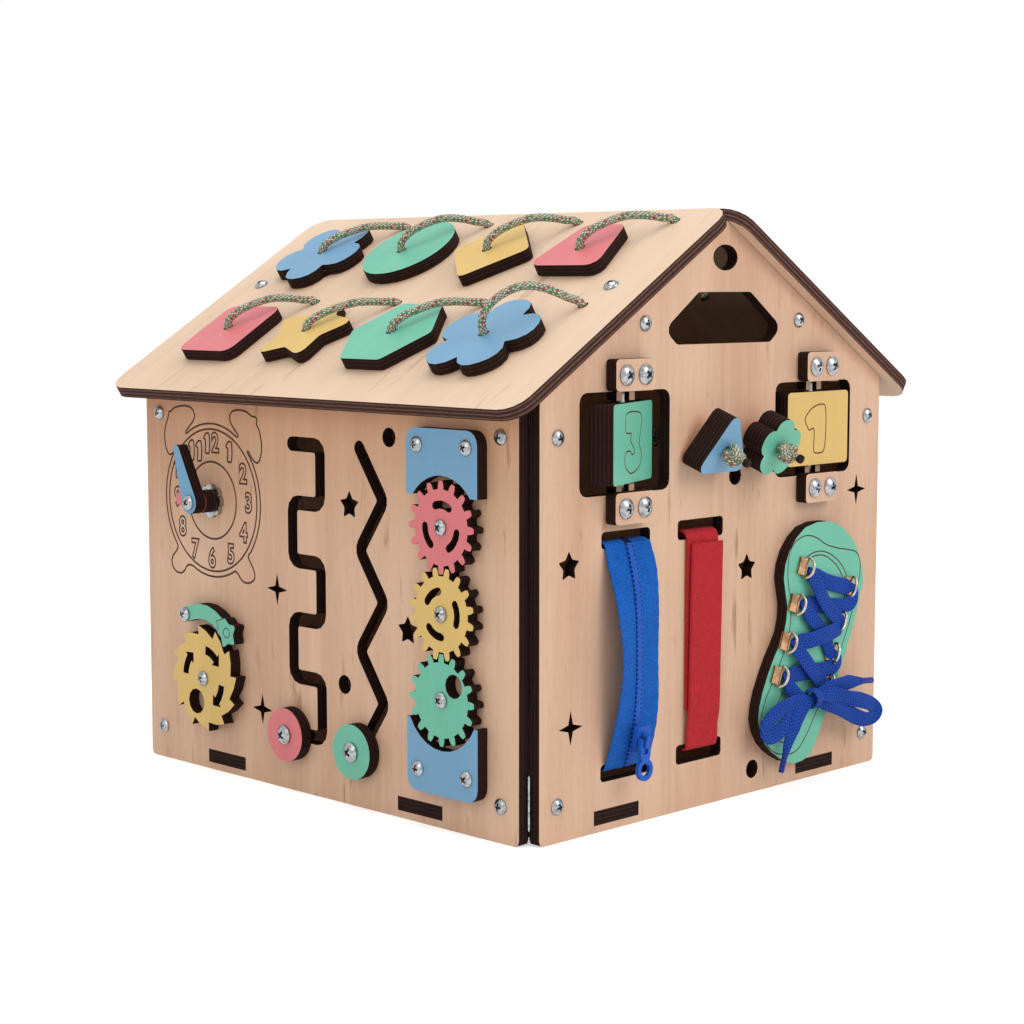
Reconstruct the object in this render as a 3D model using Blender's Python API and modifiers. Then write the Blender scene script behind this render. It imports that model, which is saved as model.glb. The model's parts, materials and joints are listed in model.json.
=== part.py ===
"""Activity house: a small plywood house whose walls and roof carry toys for busy hands.

The house stands on its four walls with the gable facing -Y and the gear wall facing -X.
Every flat piece is drawn as an outline with its holes, in the frame of the wall that carries it:
u runs to the right of someone who looks at that wall, v runs up it, and w comes out of it.
"""
import math

import bmesh
import bpy
from mathutils import Matrix, Vector

# Sheet and clearances
PLY = 0.0065
TOUCH_GAP = 0.0003
RUNNING_GAP = 0.0005
WELD = 0.00001
FILLET_REACH_SHARE = 0.49
MITRE_LIMIT_SHARE = 0.5
PETAL_ROUNDNESS_SHARE = 1.5

# House shell
HOUSE_WIDTH = 0.270
HOUSE_DEPTH = 0.2954
WALL_HEIGHT = 0.2120
ROOF_PITCH = math.radians(31.7)
ROOF_SLOPE = 0.182
ROOF_OVERHANG = 0.0068
ROOF_CORNER = 0.012
FOOT_CORNER = 0.003
HOUSE_SET_BACK = 0.0080

# Floor and its tabs
FLOOR_LIFT = 0.0041
TAB_LENGTH = 0.032
TAB_CLEARANCE = 0.0004
SIDE_TAB_CENTRE = 0.078
GABLE_TAB_CENTRE = 0.080

# Bolts
BOLT_SHANK_RADIUS = 0.0020
BOLT_HEAD_RADIUS = 0.0040
BOLT_HEAD_HEIGHT = 0.0026
NUT_RADIUS = 0.0038
NUT_HEIGHT = 0.0030
BOLT_SIDES = 10
BOLT_CROWN_SHARES = ((0.75, 0.8), (1.0, 0.25))

# Decorative cut-outs
PEEP_RADIUS = 0.0050
STAR_RADIUS = 0.0068
STAR_WAIST_SHARE = 0.52
STAR_FILLET = 0.0012
SPARKLE_RADIUS = 0.0076
SPARKLE_WAIST_SHARE = 0.24
LEFT_PEEPS = ((0.0565, 0.1913), (0.0214, 0.0623))
LEFT_STARS = ((0.0261, 0.1552), (0.0698, 0.0958))
LEFT_SPARKLES = ((-0.0328, 0.1063), (-0.0464, 0.0400))
GABLE_PEEPS = ((0.0095, 0.1690), (0.0262, 0.0125))
EDGE_STAR_IN = 0.0204
LEFT_SPARKLE_IN = 0.0219
RIGHT_SPARKLE_IN = 0.0203
GABLE_STARS = ((EDGE_STAR_IN - HOUSE_WIDTH / 2, 0.1331), (0.0198, 0.1202))
GABLE_SPARKLES = ((HOUSE_WIDTH / 2 - RIGHT_SPARKLE_IN, 0.1547), (LEFT_SPARKLE_IN - HOUSE_WIDTH / 2, 0.0548))
REAR_PEEPS = ((-0.0090, 0.1300), (-0.0360, 0.1300))
REAR_STARS = ((0.0800, 0.1600), (-0.0850, 0.0700))
REAR_SPARKLES = ((0.0600, 0.0600), (-0.0900, 0.1850))
RIGHT_PEEPS = ((-0.0700, 0.1500), (0.0800, 0.0600))
RIGHT_STARS = ((-0.0200, 0.0900), (0.0600, 0.1650))
RIGHT_SPARKLES = ((-0.0950, 0.0500), (0.0200, 0.1800))

# Clock on the left wall
CLOCK_U = -0.087
CLOCK_DROP = 0.0624
ROSETTE_RADIUS = 0.0118
ROSETTE_DIP = 0.0016
ROSETTE_THICKNESS = 0.0022
ROSETTE_LOBES = 8
HOUR_HAND_LENGTH = 0.0185
MINUTE_HAND_LENGTH = 0.0303
HAND_HUB_RADIUS = 0.0062
HOUR_HAND_TIP_RADIUS = 0.0032
MINUTE_HAND_TIP_RADIUS = 0.0025
HOUR_HAND_ANGLE = math.radians(179)
MINUTE_HAND_ANGLE = math.radians(111)

# Ratchet wheel and pawl on the left wall
RATCHET_U = -0.0890
RATCHET_V = 0.0520
RATCHET_TEETH = 12
RATCHET_TIP_RADIUS = 0.0292
RATCHET_ROOT_RADIUS = 0.0242
RATCHET_TIP_ANGLE = math.radians(8)
RATCHET_STEP = math.radians(1.6)
RATCHET_RAMP_SHARE = 0.55
FINGER_HOLE_RADIUS = 0.0070
RATCHET_FINGER_OUT = 0.0150
RATCHET_FINGER_ANGLE = math.radians(244)
ARROW_RADIUS = 0.0160
ARROW_WIDTH = 0.0036
ARROW_HEAD_WIDTH = 0.0070
ARROW_SPAN = math.radians(34)
ARROW_ANGLE_SHARES = (0.5, -0.14, -0.5)
ARROW_MIDDLES = (math.radians(52), math.radians(146), math.radians(-38))
PAWL_PIVOT_U = -0.1047
PAWL_PIVOT_V = 0.0858
PAWL_STAR_U = -0.0680
PAWL_STAR_V = 0.0793
PAWL_RISE = 0.0062
PAWL_WIDTH = 0.0082
PAWL_ARM_SHARES = (0, 0.15, 0.32, 0.5, 0.68, 0.85, 1)
PAWL_STAR_RADIUS = 0.0092
PAWL_STAR_WAIST_SHARE = 0.60
PAWL_STAR_ANGLE = math.radians(-112)
PAWL_STAR_FILLET = 0.0012

# Track slots and their sliding discs on the left wall
TRACK_WIDTH = 0.0077
TRACK_BEND = 0.0048
MEANDER_LEFT_U = -0.0194
MEANDER_RIGHT_U = 0.0032
MEANDER_FOOT_V = 0.0310
MEANDER_PITCH = 0.03065
MEANDER_LEVELS = 6
ZIGZAG_LEFT_U = 0.0340
ZIGZAG_RIGHT_U = 0.0520
ZIGZAG_FOOT_V = 0.0300
ZIGZAG_PITCH = 0.0258
ZIGZAG_LEVELS = 7
DISC_RADIUS = 0.01425
DISC_BORE_CLEARANCE = 0.0004
SLEEVE_RADIUS = 0.0031
TRACK_WASHER_RADIUS = 0.0075
TRACK_WASHER_HEIGHT = 0.0025

# Gear train on the left wall
GEAR_U = 0.1013
GEAR_CENTRES = 0.0422
GEAR_TEETH = 16
GEAR_TIP_RADIUS = 0.0228
GEAR_ROOT_RADIUS = 0.0187
GEAR_PRESSURE_ANGLE = math.radians(20)
GEAR_BACKLASH = 0.0011
GEAR_ROOT_FILLET = 0.0006
GEAR_FLANK_SHARES = (0, 0.5, 1)
GEAR_SLOT_RADIUS = 0.0112
GEAR_SLOT_WIDTH = 0.0040
GEAR_SLOT_SPAN = math.radians(52)
GEAR_TOP_SLOTS = (math.radians(85), math.radians(205), math.radians(325))
GEAR_MIDDLE_SLOTS = (math.radians(125), math.radians(5), math.radians(245))
GEAR_FINGER_RADIUS = 0.0060
GEAR_FINGER_OUT = 0.0118
GEAR_FINGER_ANGLE = math.radians(42)
GUARD_HALF_WIDTH = 0.0250
UPPER_GUARD_HEIGHT = 0.0325
LOWER_GUARD_HEIGHT = 0.0365
GUARD_CORNER = 0.0070
GUARD_ARC_CLEARANCE = 0.0024
GUARD_REACH = 0.0476
GUARD_TOP_DROP = 0.0140

# Number blocks in the gable's windows
WINDOW_U = 0.0749
WINDOW_V = 0.1905
WINDOW_WIDTH = 0.0655
WINDOW_HEIGHT = 0.0500
WINDOW_CORNER = 0.0050
BLOCK_WIDTH = 0.0525
BLOCK_HEIGHT = 0.0390
BLOCK_THICKNESS = 0.0132
BLOCK_CORNER = 0.0020
BLOCK_TURN = math.radians(21)
AXLE_RADIUS = 0.0020
AXLE_INTO_WALL = 0.0075
AXLE_NOTCH_WIDTH = 0.0052
FORK_WIDTH = 0.0130
FORK_CLEARANCE = 0.0009
CAP_WIDTH = 0.0285
CAP_HEIGHT = 0.0155
CAP_CORNER = 0.0020
UPPER_CAP_GAP = 0.00025
LOWER_CAP_LAP = 0.00125

# Gable openings
OVAL_DROP = 0.01939
OVAL_HALF_WIDTH = 0.0097
OVAL_HALF_HEIGHT = 0.0066
HANDLE_DROP = 0.03669
HANDLE_HEIGHT = 0.0260
HANDLE_WIDE_SHARE = 0.29
HANDLE_TOP_HALF = 0.0205
HANDLE_WIDE_HALF = 0.0465
HANDLE_FOOT_HALF = 0.0370
HANDLE_CORNER = 0.0045

# Rope knobs on the gable
KNOB_V = 0.1893
TRIANGLE_KNOB_U = -0.0178
FLOWER_KNOB_U = 0.0240
KNOB_THICKNESS = 0.0130
KNOB_DROOP = math.radians(20)
TRIANGLE_KNOB_RADIUS = 0.0225
TRIANGLE_KNOB_CORNER = 0.0040
FLOWER_KNOB_RADIUS = 0.0158
FLOWER_KNOB_DIP = 0.0036
FLOWER_KNOB_LOBES = 5
KNOB_REST_GAP = 0.0005
KNOB_PULL = 0.0200

# Ropes
ROPE_RADIUS = 0.0024
ROPE_CLEARANCE = 0.0005
KNOT_LENGTH = 0.0095
KNOT_SWELL_SHARES = ((0.0, 1.0), (0.2, 2.2), (0.8, 2.2), (1.0, 1.0))
ROPE_TAIL = 0.0080
ROPE_ARCH_STEPS = 8

# Zipper on the gable
ZIP_U = -0.0741
ZIP_SLOT_WIDTH = 0.0355
ZIP_SLOT_HEIGHT = 0.0085
TAPE_SLOT_CORNER = 0.0020
TAPE_NUDGE_SHARE = 0.125
TAPE_SINK_SHARE = 1 / 3
ZIP_TOP_SLOT_V = 0.1435
ZIP_FOOT_SLOT_V = 0.0288
ZIP_TAPE_WIDTH = 0.0320
ZIP_TAPE_THICKNESS = 0.0014
ZIP_BOW = 0.0108
ZIP_ARC_STEPS = 16
ZIP_CHAIN_WIDTH = 0.0058
ZIP_ARC_INSET = 0.0016
ZIP_TAIL = 0.0130
ZIP_SLIDER_V = 0.0470
ZIP_SLIDER_LENGTH = 0.0135
ZIP_SLIDER_WIDTH = 0.0104
ZIP_SLIDER_NOSE = 0.0068
ZIP_SLIDER_THICKNESS = 0.0026
ZIP_SLIDER_CORNER = 0.0022
ZIP_TEETH_RISE = 0.0014
ZIP_BAIL_HEIGHT = 0.0042
ZIP_BAIL_LENGTH = 0.0070
ZIP_BAIL_WIDTH = 0.0026
ZIP_BAIL_WALL = 0.0011
ZIP_PULL_LENGTH = 0.0213
ZIP_PULL_WIDTH = 0.0072
ZIP_PULL_RING_RADIUS = 0.0056
ZIP_PULL_RING_HOLE = 0.0032
ZIP_PULL_THICKNESS = 0.0018
ZIP_PULL_RING_ARC = (math.radians(119), math.radians(421))
ZIP_PULL_EYE_WIDTH = 0.0034
ZIP_PULL_EYE_LENGTH = 0.0060

# Hook-and-loop strap on the gable
STRAP_U = -0.0177
STRAP_SLOT_WIDTH = 0.0355
STRAP_SLOT_HEIGHT = 0.0100
STRAP_TOP_SLOT_V = 0.1440
STRAP_FOOT_SLOT_V = 0.0293
STRAP_WIDTH = 0.0250
STRAP_THICKNESS = 0.0016
STRAP_STACK_GAP = 0.0004
STRAP_TAIL = 0.0160
STRAP_UNDER_END_V = 0.0520
STRAP_UPPER_END_V = 0.1370
STRAP_HINGE_V = 0.0310
STRAP_HINGE_IN = 0.0015
STRAP_MOUTH_V = 0.0323
STRAP_BRIDGE_V = 0.0430
STRAP_LAP_CLEARANCE = 0.0011

# Shoe on the gable
SOLE_OUTLINE = (
    (0.0803, 0.1403), (0.0947, 0.1351), (0.1075, 0.1228), (0.1132, 0.1060),
    (0.1105, 0.0980), (0.1047, 0.0806), (0.0871, 0.0464), (0.0775, 0.0302),
    (0.0678, 0.0155), (0.0540, 0.0121), (0.0402, 0.0173), (0.0284, 0.0264),
    (0.0224, 0.0394), (0.0259, 0.0546), (0.0350, 0.0715), (0.0433, 0.0838),
    (0.0459, 0.0980), (0.0426, 0.1128), (0.0471, 0.1269), (0.0604, 0.1384),
)
LACE_RADIUS = 0.0012
LACE_ROUTE = (
    (0.1190, 0.0500, 0.0120), (0.1080, 0.0515, 0.0135), (0.0960, 0.0510, 0.0150), (0.0840, 0.0495, 0.0165),
    (0.0730, 0.0480, 0.0176), (0.0635, 0.0475, 0.0176), (0.0530, 0.0465, 0.0165), (0.0420, 0.0435, 0.0145),
    (0.0310, 0.0385, 0.0120), (0.0245, 0.0315, 0.0110), (0.0260, 0.0240, 0.0110), (0.0330, 0.0225, 0.0115),
    (0.0410, 0.0275, 0.0120), (0.0490, 0.0345, 0.0120), (0.0565, 0.0410, 0.0118), (0.0640, 0.0466, 0.0114),
    (0.0730, 0.0498, 0.0102), (0.0805, 0.0500, 0.0092), (0.0863, 0.0488, 0.0086), (0.0830, 0.0525, 0.0088),
    (0.0750, 0.0595, 0.0105), (0.0660, 0.0660, 0.0116), (0.0570, 0.0725, 0.0106), (0.0500, 0.0776, 0.0090),
    (0.0460, 0.0796, 0.0086), (0.0520, 0.0808, 0.0090), (0.0610, 0.0823, 0.0106), (0.0715, 0.0836, 0.0116),
    (0.0820, 0.0850, 0.0106), (0.0920, 0.0860, 0.0090), (0.0983, 0.0868, 0.0086), (0.0945, 0.0900, 0.0090),
    (0.0870, 0.0965, 0.0106), (0.0795, 0.1030, 0.0116), (0.0720, 0.1095, 0.0106), (0.0655, 0.1152, 0.0090),
    (0.0610, 0.1193, 0.0086), (0.0670, 0.1186, 0.0086), (0.0770, 0.1157, 0.0084), (0.0880, 0.1120, 0.0084),
    (0.0980, 0.1085, 0.0085), (0.1046, 0.1063, 0.0086), (0.1000, 0.1034, 0.0084), (0.0900, 0.1018, 0.0082),
    (0.0795, 0.1006, 0.0082), (0.0690, 0.1002, 0.0082), (0.0600, 0.0992, 0.0084), (0.0533, 0.0982, 0.0086),
    (0.0580, 0.0946, 0.0084), (0.0660, 0.0886, 0.0082), (0.0730, 0.0832, 0.0082), (0.0810, 0.0765, 0.0082),
    (0.0880, 0.0706, 0.0084), (0.0929, 0.0668, 0.0086), (0.0870, 0.0658, 0.0084), (0.0770, 0.0653, 0.0082),
    (0.0660, 0.0646, 0.0082), (0.0550, 0.0639, 0.0082), (0.0460, 0.0630, 0.0084), (0.0390, 0.0618, 0.0086),
    (0.0445, 0.0575, 0.0086), (0.0520, 0.0525, 0.0084), (0.0590, 0.0488, 0.0082), (0.0665, 0.0445, 0.0083),
    (0.0760, 0.0415, 0.0095), (0.0880, 0.0385, 0.0110), (0.1010, 0.0355, 0.0120), (0.1140, 0.0330, 0.0125),
    (0.1230, 0.0295, 0.0120), (0.1260, 0.0235, 0.0115), (0.1200, 0.0205, 0.0115), (0.1090, 0.0240, 0.0130),
    (0.0970, 0.0290, 0.0140), (0.0850, 0.0345, 0.0146), (0.0740, 0.0405, 0.0147), (0.0645, 0.0453, 0.0146),
    (0.0595, 0.0385, 0.0150), (0.0540, 0.0290, 0.0150), (0.0480, 0.0200, 0.0140), (0.0420, 0.0120, 0.0125),
)

# Tethered shapes on the left roof
SHAPE_PITCH = 0.0675
SHAPE_FIRST_U = -0.1038
SHAPE_UPPER_DOWN = 0.0489
SHAPE_LOWER_DOWN = 0.1292
ANCHOR_RISE = 0.0367
PLUG_INSET = 0.0032
PLUG_CLEARANCE = 0.0007
PLUG_DEPTH = 0.0060
PLUG_BORE_SHARE = 0.25
SHAPE_PULL = 0.0250
CLOUD_RADIUS = 0.0300
CLOUD_DIP = 0.0100
CLOUD_ARCH = 0.0127
CIRCLE_RADIUS = 0.0278
CIRCLE_CENTRE = (0.0030, 0.0030)
CIRCLE_ARCH = 0.0180
DIAMOND_RADIUS = 0.0285
DIAMOND_CENTRE = (0.0030, 0.0)
DIAMOND_ARCH = 0.0165
TRAPEZOID_FOOT = 0.0480
TRAPEZOID_TOP = 0.0280
TRAPEZOID_HEIGHT = 0.0400
TRAPEZOID_CENTRE = (0.0, 0.0030)
TRAPEZOID_ARCH = 0.0180
SQUARE_WIDTH = 0.0450
SQUARE_CENTRE = (0.0020, -0.0010)
SQUARE_ARCH = 0.0140
STAR_SHAPE_RADIUS = 0.0310
STAR_SHAPE_WAIST_SHARE = 0.56
STAR_SHAPE_ARCH = 0.0130
HEXAGON_RADIUS = 0.0300
HEXAGON_ARCH = 0.0140
BLOSSOM_RADIUS = 0.0310
BLOSSOM_DIP = 0.0100
BLOSSOM_ARCH = 0.0270
SHAPE_TIGHT_CORNER = 0.0040
SHAPE_WIDE_CORNER = 0.0060

# Colours, metallic values and roughnesses
LOOKS = {
    "birch": ((0.66, 0.47, 0.29), 0.0, 0.62),
    "coral": ((0.75, 0.20, 0.18), 0.0, 0.55),
    "yellow": ((0.78, 0.52, 0.16), 0.0, 0.55),
    "mint": ((0.14, 0.60, 0.38), 0.0, 0.55),
    "blue": ((0.15, 0.35, 0.62), 0.0, 0.55),
    "steel": ((0.62, 0.62, 0.62), 1.0, 0.28),
    "rope": ((0.50, 0.50, 0.38), 0.0, 0.85),
    "zip_blue": ((0.01, 0.13, 0.62), 0.0, 0.70),
    "strap_red": ((0.55, 0.03, 0.05), 0.0, 0.80),
    "lace_blue": ((0.03, 0.05, 0.50), 0.0, 0.80),
}


def collection_named(name):
    """A new collection under the scene's own."""
    made = bpy.data.collections.new(name)
    bpy.context.scene.collection.children.link(made)
    return made


def make_looks():
    """One Principled material for each look."""
    made = {}
    for name, (colour, metallic, roughness) in LOOKS.items():
        material = bpy.data.materials.new(name)
        material.use_nodes = True
        shader = material.node_tree.nodes["Principled BSDF"]
        shader.inputs["Base Color"].default_value = (*colour, 1.0)
        shader.inputs["Metallic"].default_value = metallic
        shader.inputs["Roughness"].default_value = roughness
        made[name] = material
    return made


def frame(origin, u_axis, v_axis):
    """The matrix of a flat frame: its u, v and outward w axes, and its origin."""
    u, v = Vector(u_axis), Vector(v_axis)
    w = u.cross(v)
    rows = [(u[i], v[i], w[i], origin[i]) for i in range(3)]
    return Matrix([*rows, (0, 0, 0, 1)])


WALL_OUT_X = HOUSE_WIDTH / 2 + PLY
GABLE_OUT_Y = HOUSE_DEPTH / 2 + PLY
SLOPE_RUN = math.cos(ROOF_PITCH)
SLOPE_RISE = math.sin(ROOF_PITCH)
CLOCK_V = WALL_HEIGHT - CLOCK_DROP
TOP_GEAR_V = WALL_HEIGHT - GUARD_TOP_DROP - GUARD_REACH
RIDGE_UNDER_Z = WALL_HEIGHT + TOUCH_GAP + WALL_OUT_X * math.tan(ROOF_PITCH)
OVAL_V = RIDGE_UNDER_Z - OVAL_DROP
HANDLE_TOP_V = RIDGE_UNDER_Z - HANDLE_DROP
HANDLE_FOOT_V = HANDLE_TOP_V - HANDLE_HEIGHT
HANDLE_WIDE_V = HANDLE_FOOT_V + HANDLE_HEIGHT * HANDLE_WIDE_SHARE
RIDGE_TOP = (PLY * SLOPE_RISE, RIDGE_UNDER_Z + PLY * SLOPE_RUN)

LEFT = frame((-WALL_OUT_X, 0, 0), (0, -1, 0), (0, 0, 1))
RIGHT = frame((WALL_OUT_X, 0, 0), (0, 1, 0), (0, 0, 1))
FRONT = frame((0, -GABLE_OUT_Y, 0), (1, 0, 0), (0, 0, 1))
REAR = frame((0, GABLE_OUT_Y, 0), (-1, 0, 0), (0, 0, 1))
LEFT_ROOF = frame((-RIDGE_TOP[0], 0, RIDGE_TOP[1]), (0, -1, 0), (SLOPE_RUN, 0, SLOPE_RISE))
RIGHT_ROOF = frame((RIDGE_TOP[0], 0, RIDGE_TOP[1]), (0, 1, 0), (-SLOPE_RUN, 0, SLOPE_RISE))
PLATE_BACK = Matrix.Translation((0, 0, -PLY))
AS_IT_IS = Matrix.Identity(4)


def turned(frame_matrix, u, v, w, angle=0.0):
    """A place on a wall's frame, turned about its outward axis."""
    return frame_matrix @ Matrix.Translation((u, v, w)) @ Matrix.Rotation(angle, 4, "Z")


# Outlines

def arc(centre, radius, start, end, steps):
    """Points along an arc, both ends included."""
    return [
        (
            centre[0] + radius * math.cos(start + (end - start) * i / steps),
            centre[1] + radius * math.sin(start + (end - start) * i / steps),
        )
        for i in range(steps + 1)
    ]


def circle(centre, radius, sides=12):
    """A closed ring of points."""
    return arc(centre, radius, 0, math.tau * (sides - 1) / sides, sides - 1)


def oval(centre, half_width, half_height, sides=20):
    """A closed ellipse."""
    ring = circle((0, 0), 1, sides)
    return [(centre[0] + x * half_width, centre[1] + y * half_height) for x, y in ring]


def rounded(corners, radius, steps=3):
    """A closed polygon whose corners, convex or hollow, have the given fillet."""
    outline = []
    count = len(corners)
    for i, corner in enumerate(corners):
        here = Vector(corner)
        before = Vector(corners[i - 1]) - here
        after = Vector(corners[(i + 1) % count]) - here
        half = before.angle(after) / 2
        reach = min(radius / math.tan(half), FILLET_REACH_SHARE * min(before.length, after.length))
        fillet = reach * math.tan(half)
        middle = here + (before.normalized() + after.normalized()).normalized() * (fillet / math.sin(half))
        first = here + before.normalized() * reach - middle
        last = here + after.normalized() * reach - middle
        sweep = first.angle_signed(last)
        for k in range(steps + 1):
            spoke = first.copy()
            spoke.rotate(Matrix.Rotation(-sweep * k / steps, 2))
            outline.append(tuple(middle + spoke))
    return outline


def rectangle(centre, width, height):
    """The four corners of a rectangle."""
    u, v = centre
    return [
        (u - width / 2, v - height / 2),
        (u + width / 2, v - height / 2),
        (u + width / 2, v + height / 2),
        (u - width / 2, v + height / 2),
    ]


def star_corners(centre, radius, waist_share, points=5, start=math.pi / 2):
    """The tips and waists of a star."""
    return [
        (
            centre[0] + radius * (waist_share if i % 2 else 1) * math.cos(start + math.pi * i / points),
            centre[1] + radius * (waist_share if i % 2 else 1) * math.sin(start + math.pi * i / points),
        )
        for i in range(2 * points)
    ]


def star(centre):
    """A small star cut-out with soft points."""
    return rounded(star_corners(centre, STAR_RADIUS, STAR_WAIST_SHARE), STAR_FILLET, 1)


def sparkle(centre):
    """A four-pointed sparkle cut-out."""
    return star_corners(centre, SPARKLE_RADIUS, SPARKLE_WAIST_SHARE, 4)


def flower(centre, radius, dip, lobes, start=0.0, steps=40):
    """A round-petalled flower, with a dip between each two petals."""
    ring = []
    for i in range(steps):
        angle = math.tau * i / steps
        wave = abs(math.cos(lobes * (angle - start) / 2))
        reach = radius - dip * (1 - wave) ** PETAL_ROUNDNESS_SHARE
        ring.append((centre[0] + reach * math.cos(angle), centre[1] + reach * math.sin(angle)))
    return ring


def grown(outline, distance):
    """The outline moved outwards by a distance, or inwards where it is negative."""
    moved = []
    count = len(outline)
    for i, point in enumerate(outline):
        here = Vector(point)
        along = (here - Vector(outline[i - 1])).normalized()
        onward = (Vector(outline[(i + 1) % count]) - here).normalized()
        normal = Vector((along.y + onward.y, -along.x - onward.x)).normalized()
        lean = max(MITRE_LIMIT_SHARE, normal.dot(Vector((along.y, -along.x))))
        moved.append(tuple(here + normal * (distance / lean)))
    return moved


def band(path, width, bend, steps=3):
    """The outline of a slot of even width along a path, with rounded bends and round ends."""
    line = [Vector(path[0])]
    for before, here, after in zip(path, path[1:], path[2:]):
        back, on = Vector(before) - Vector(here), Vector(after) - Vector(here)
        half = back.angle(on) / 2
        reach = min(bend / math.tan(half), FILLET_REACH_SHARE * min(back.length, on.length))
        fillet = reach * math.tan(half)
        middle = Vector(here) + (back.normalized() + on.normalized()).normalized() * (fillet / math.sin(half))
        first = Vector(here) + back.normalized() * reach - middle
        last = Vector(here) + on.normalized() * reach - middle
        sweep = first.angle_signed(last)
        for k in range(steps + 1):
            spoke = first.copy()
            spoke.rotate(Matrix.Rotation(-sweep * k / steps, 2))
            line.append(middle + spoke)
    line.append(Vector(path[-1]))
    left, right = [], []
    for i, here in enumerate(line):
        ahead = (line[min(i + 1, len(line) - 1)] - here)
        behind = (here - line[max(i - 1, 0)])
        ways = [way.normalized() for way in (ahead, behind) if way.length > 0]
        side = sum((Vector((-way.y, way.x)) for way in ways), Vector((0, 0))).normalized()
        lean = side.dot(Vector((-ways[0].y, ways[0].x)))
        left.append(here + side * (width / 2 / lean))
        right.append(here - side * (width / 2 / lean))
    out = (line[-1] - line[-2]).angle_signed(Vector((1, 0)))
    end_cap = arc(line[-1], width / 2, out - math.pi / 2, out + math.pi / 2, 6)[1:-1]
    start_way = (line[0] - line[1]).angle_signed(Vector((1, 0)))
    start_cap = arc(line[0], width / 2, start_way - math.pi / 2, start_way + math.pi / 2, 6)[1:-1]
    return [tuple(p) for p in [*right, *end_cap, *reversed(left), *start_cap]]


def arc_slot(radius, width, middle, span, steps=4):
    """A curved slot about the origin, with round ends."""
    low, high = middle - span / 2, middle + span / 2
    outer = arc((0, 0), radius + width / 2, low, high, steps)
    inner = arc((0, 0), radius - width / 2, high, low, steps)
    end = (radius * math.cos(high), radius * math.sin(high))
    start = (radius * math.cos(low), radius * math.sin(low))
    end_cap = arc(end, width / 2, high, high + math.pi, 4)[1:-1]
    start_cap = arc(start, width / 2, low + math.pi, low + math.tau, 4)[1:-1]
    return [*outer, *end_cap, *inner, *start_cap]


# Solids

def add_object(name, mesh, look, place):
    """An object of a mesh, with its look and its place, in the house's collection."""
    thing = bpy.data.objects.new(name, mesh)
    mesh.materials.clear()
    mesh.materials.append(looks[look])
    house.objects.link(thing)
    thing.parent = house_origin
    thing.matrix_local = place
    return thing


def mesh_of_curve(curve):
    """The mesh of a curve, with its caps welded to its sides."""
    maker = bpy.data.objects.new("maker", curve)
    bpy.context.scene.collection.objects.link(maker)
    view = bpy.context.evaluated_depsgraph_get()
    mesh = bpy.data.meshes.new_from_object(maker.evaluated_get(view))
    bpy.data.objects.remove(maker)
    bpy.data.curves.remove(curve)
    shaped = bmesh.new()
    shaped.from_mesh(mesh)
    bmesh.ops.remove_doubles(shaped, verts=shaped.verts, dist=WELD)
    bmesh.ops.recalc_face_normals(shaped, faces=shaped.faces)
    shaped.to_mesh(mesh)
    shaped.free()
    return mesh


def plate_mesh(outlines, thickness):
    """A flat sheet of an outline less its holes, from its back at w = 0 to its face."""
    curve = bpy.data.curves.new("plate", "CURVE")
    curve.dimensions = "2D"
    curve.fill_mode = "BOTH"
    curve.extrude = thickness / 2
    for outline in outlines:
        spline = curve.splines.new("POLY")
        spline.points.add(len(outline) - 1)
        for point, (u, v) in zip(spline.points, outline):
            point.co = (u, v, 0, 1)
        spline.use_cyclic_u = True
    mesh = mesh_of_curve(curve)
    mesh.transform(Matrix.Translation((0, 0, thickness / 2)))
    return mesh


def plate(name, look, outlines, place, thickness=PLY):
    """A flat piece in a wall's frame."""
    return add_object(name, plate_mesh(outlines, thickness), look, place)


def smooth(thing):
    """Round sides shaded smooth, with the edges of its ends kept sharp."""
    thing.data.shade_smooth()
    thing.data.set_sharp_from_angle(angle=math.radians(35))


def turned_piece(name, look, profile, place, sides=BOLT_SIDES):
    """A turned piece: a profile of (radius, height) points from its top down, about w."""
    mesh = bpy.data.meshes.new(name)
    edges = [(i, i + 1) for i in range(len(profile) - 1)]
    mesh.from_pydata([(radius, 0, height) for radius, height in profile], edges, [])
    thing = add_object(name, mesh, look, place)
    screw = thing.modifiers.new("turn", "SCREW")
    screw.axis = "Z"
    screw.steps = sides
    screw.render_steps = sides
    screw.use_merge_vertices = True
    screw.merge_threshold = WELD
    screw.use_smooth_shade = True
    return thing


def bolt(name, place, seat, sleeve=0.0, washer=NUT_RADIUS, washer_height=NUT_HEIGHT):
    """A pan head bolt whose head rests at w = seat and whose nut is inside the house."""
    shank = sleeve or BOLT_SHANK_RADIUS
    inner = -PLY - TOUCH_GAP
    crown = [(BOLT_HEAD_RADIUS * out, seat + BOLT_HEAD_HEIGHT * up) for out, up in BOLT_CROWN_SHARES]
    profile = [
        (0, seat + BOLT_HEAD_HEIGHT),
        *crown,
        (BOLT_HEAD_RADIUS, seat),
        (shank, seat),
        (shank, inner),
        (washer, inner),
        (washer, inner - washer_height),
        (0, inner - washer_height),
    ]
    return turned_piece(name, "steel", profile, place)


def tube_mesh(points, radius, swellings=None, detail=2):
    """A round cord along its points; a swelling gives a point more radius, as a knot does."""
    curve = bpy.data.curves.new("tube", "CURVE")
    curve.dimensions = "3D"
    curve.bevel_depth = radius
    curve.bevel_resolution = detail
    curve.use_fill_caps = True
    curve.twist_mode = "MINIMUM"
    spline = curve.splines.new("POLY")
    spline.points.add(len(points) - 1)
    for i, (point, place) in enumerate(zip(spline.points, points)):
        point.co = (*place, 1)
        point.radius = (swellings or {}).get(i, 1.0)
    return mesh_of_curve(curve)


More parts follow.
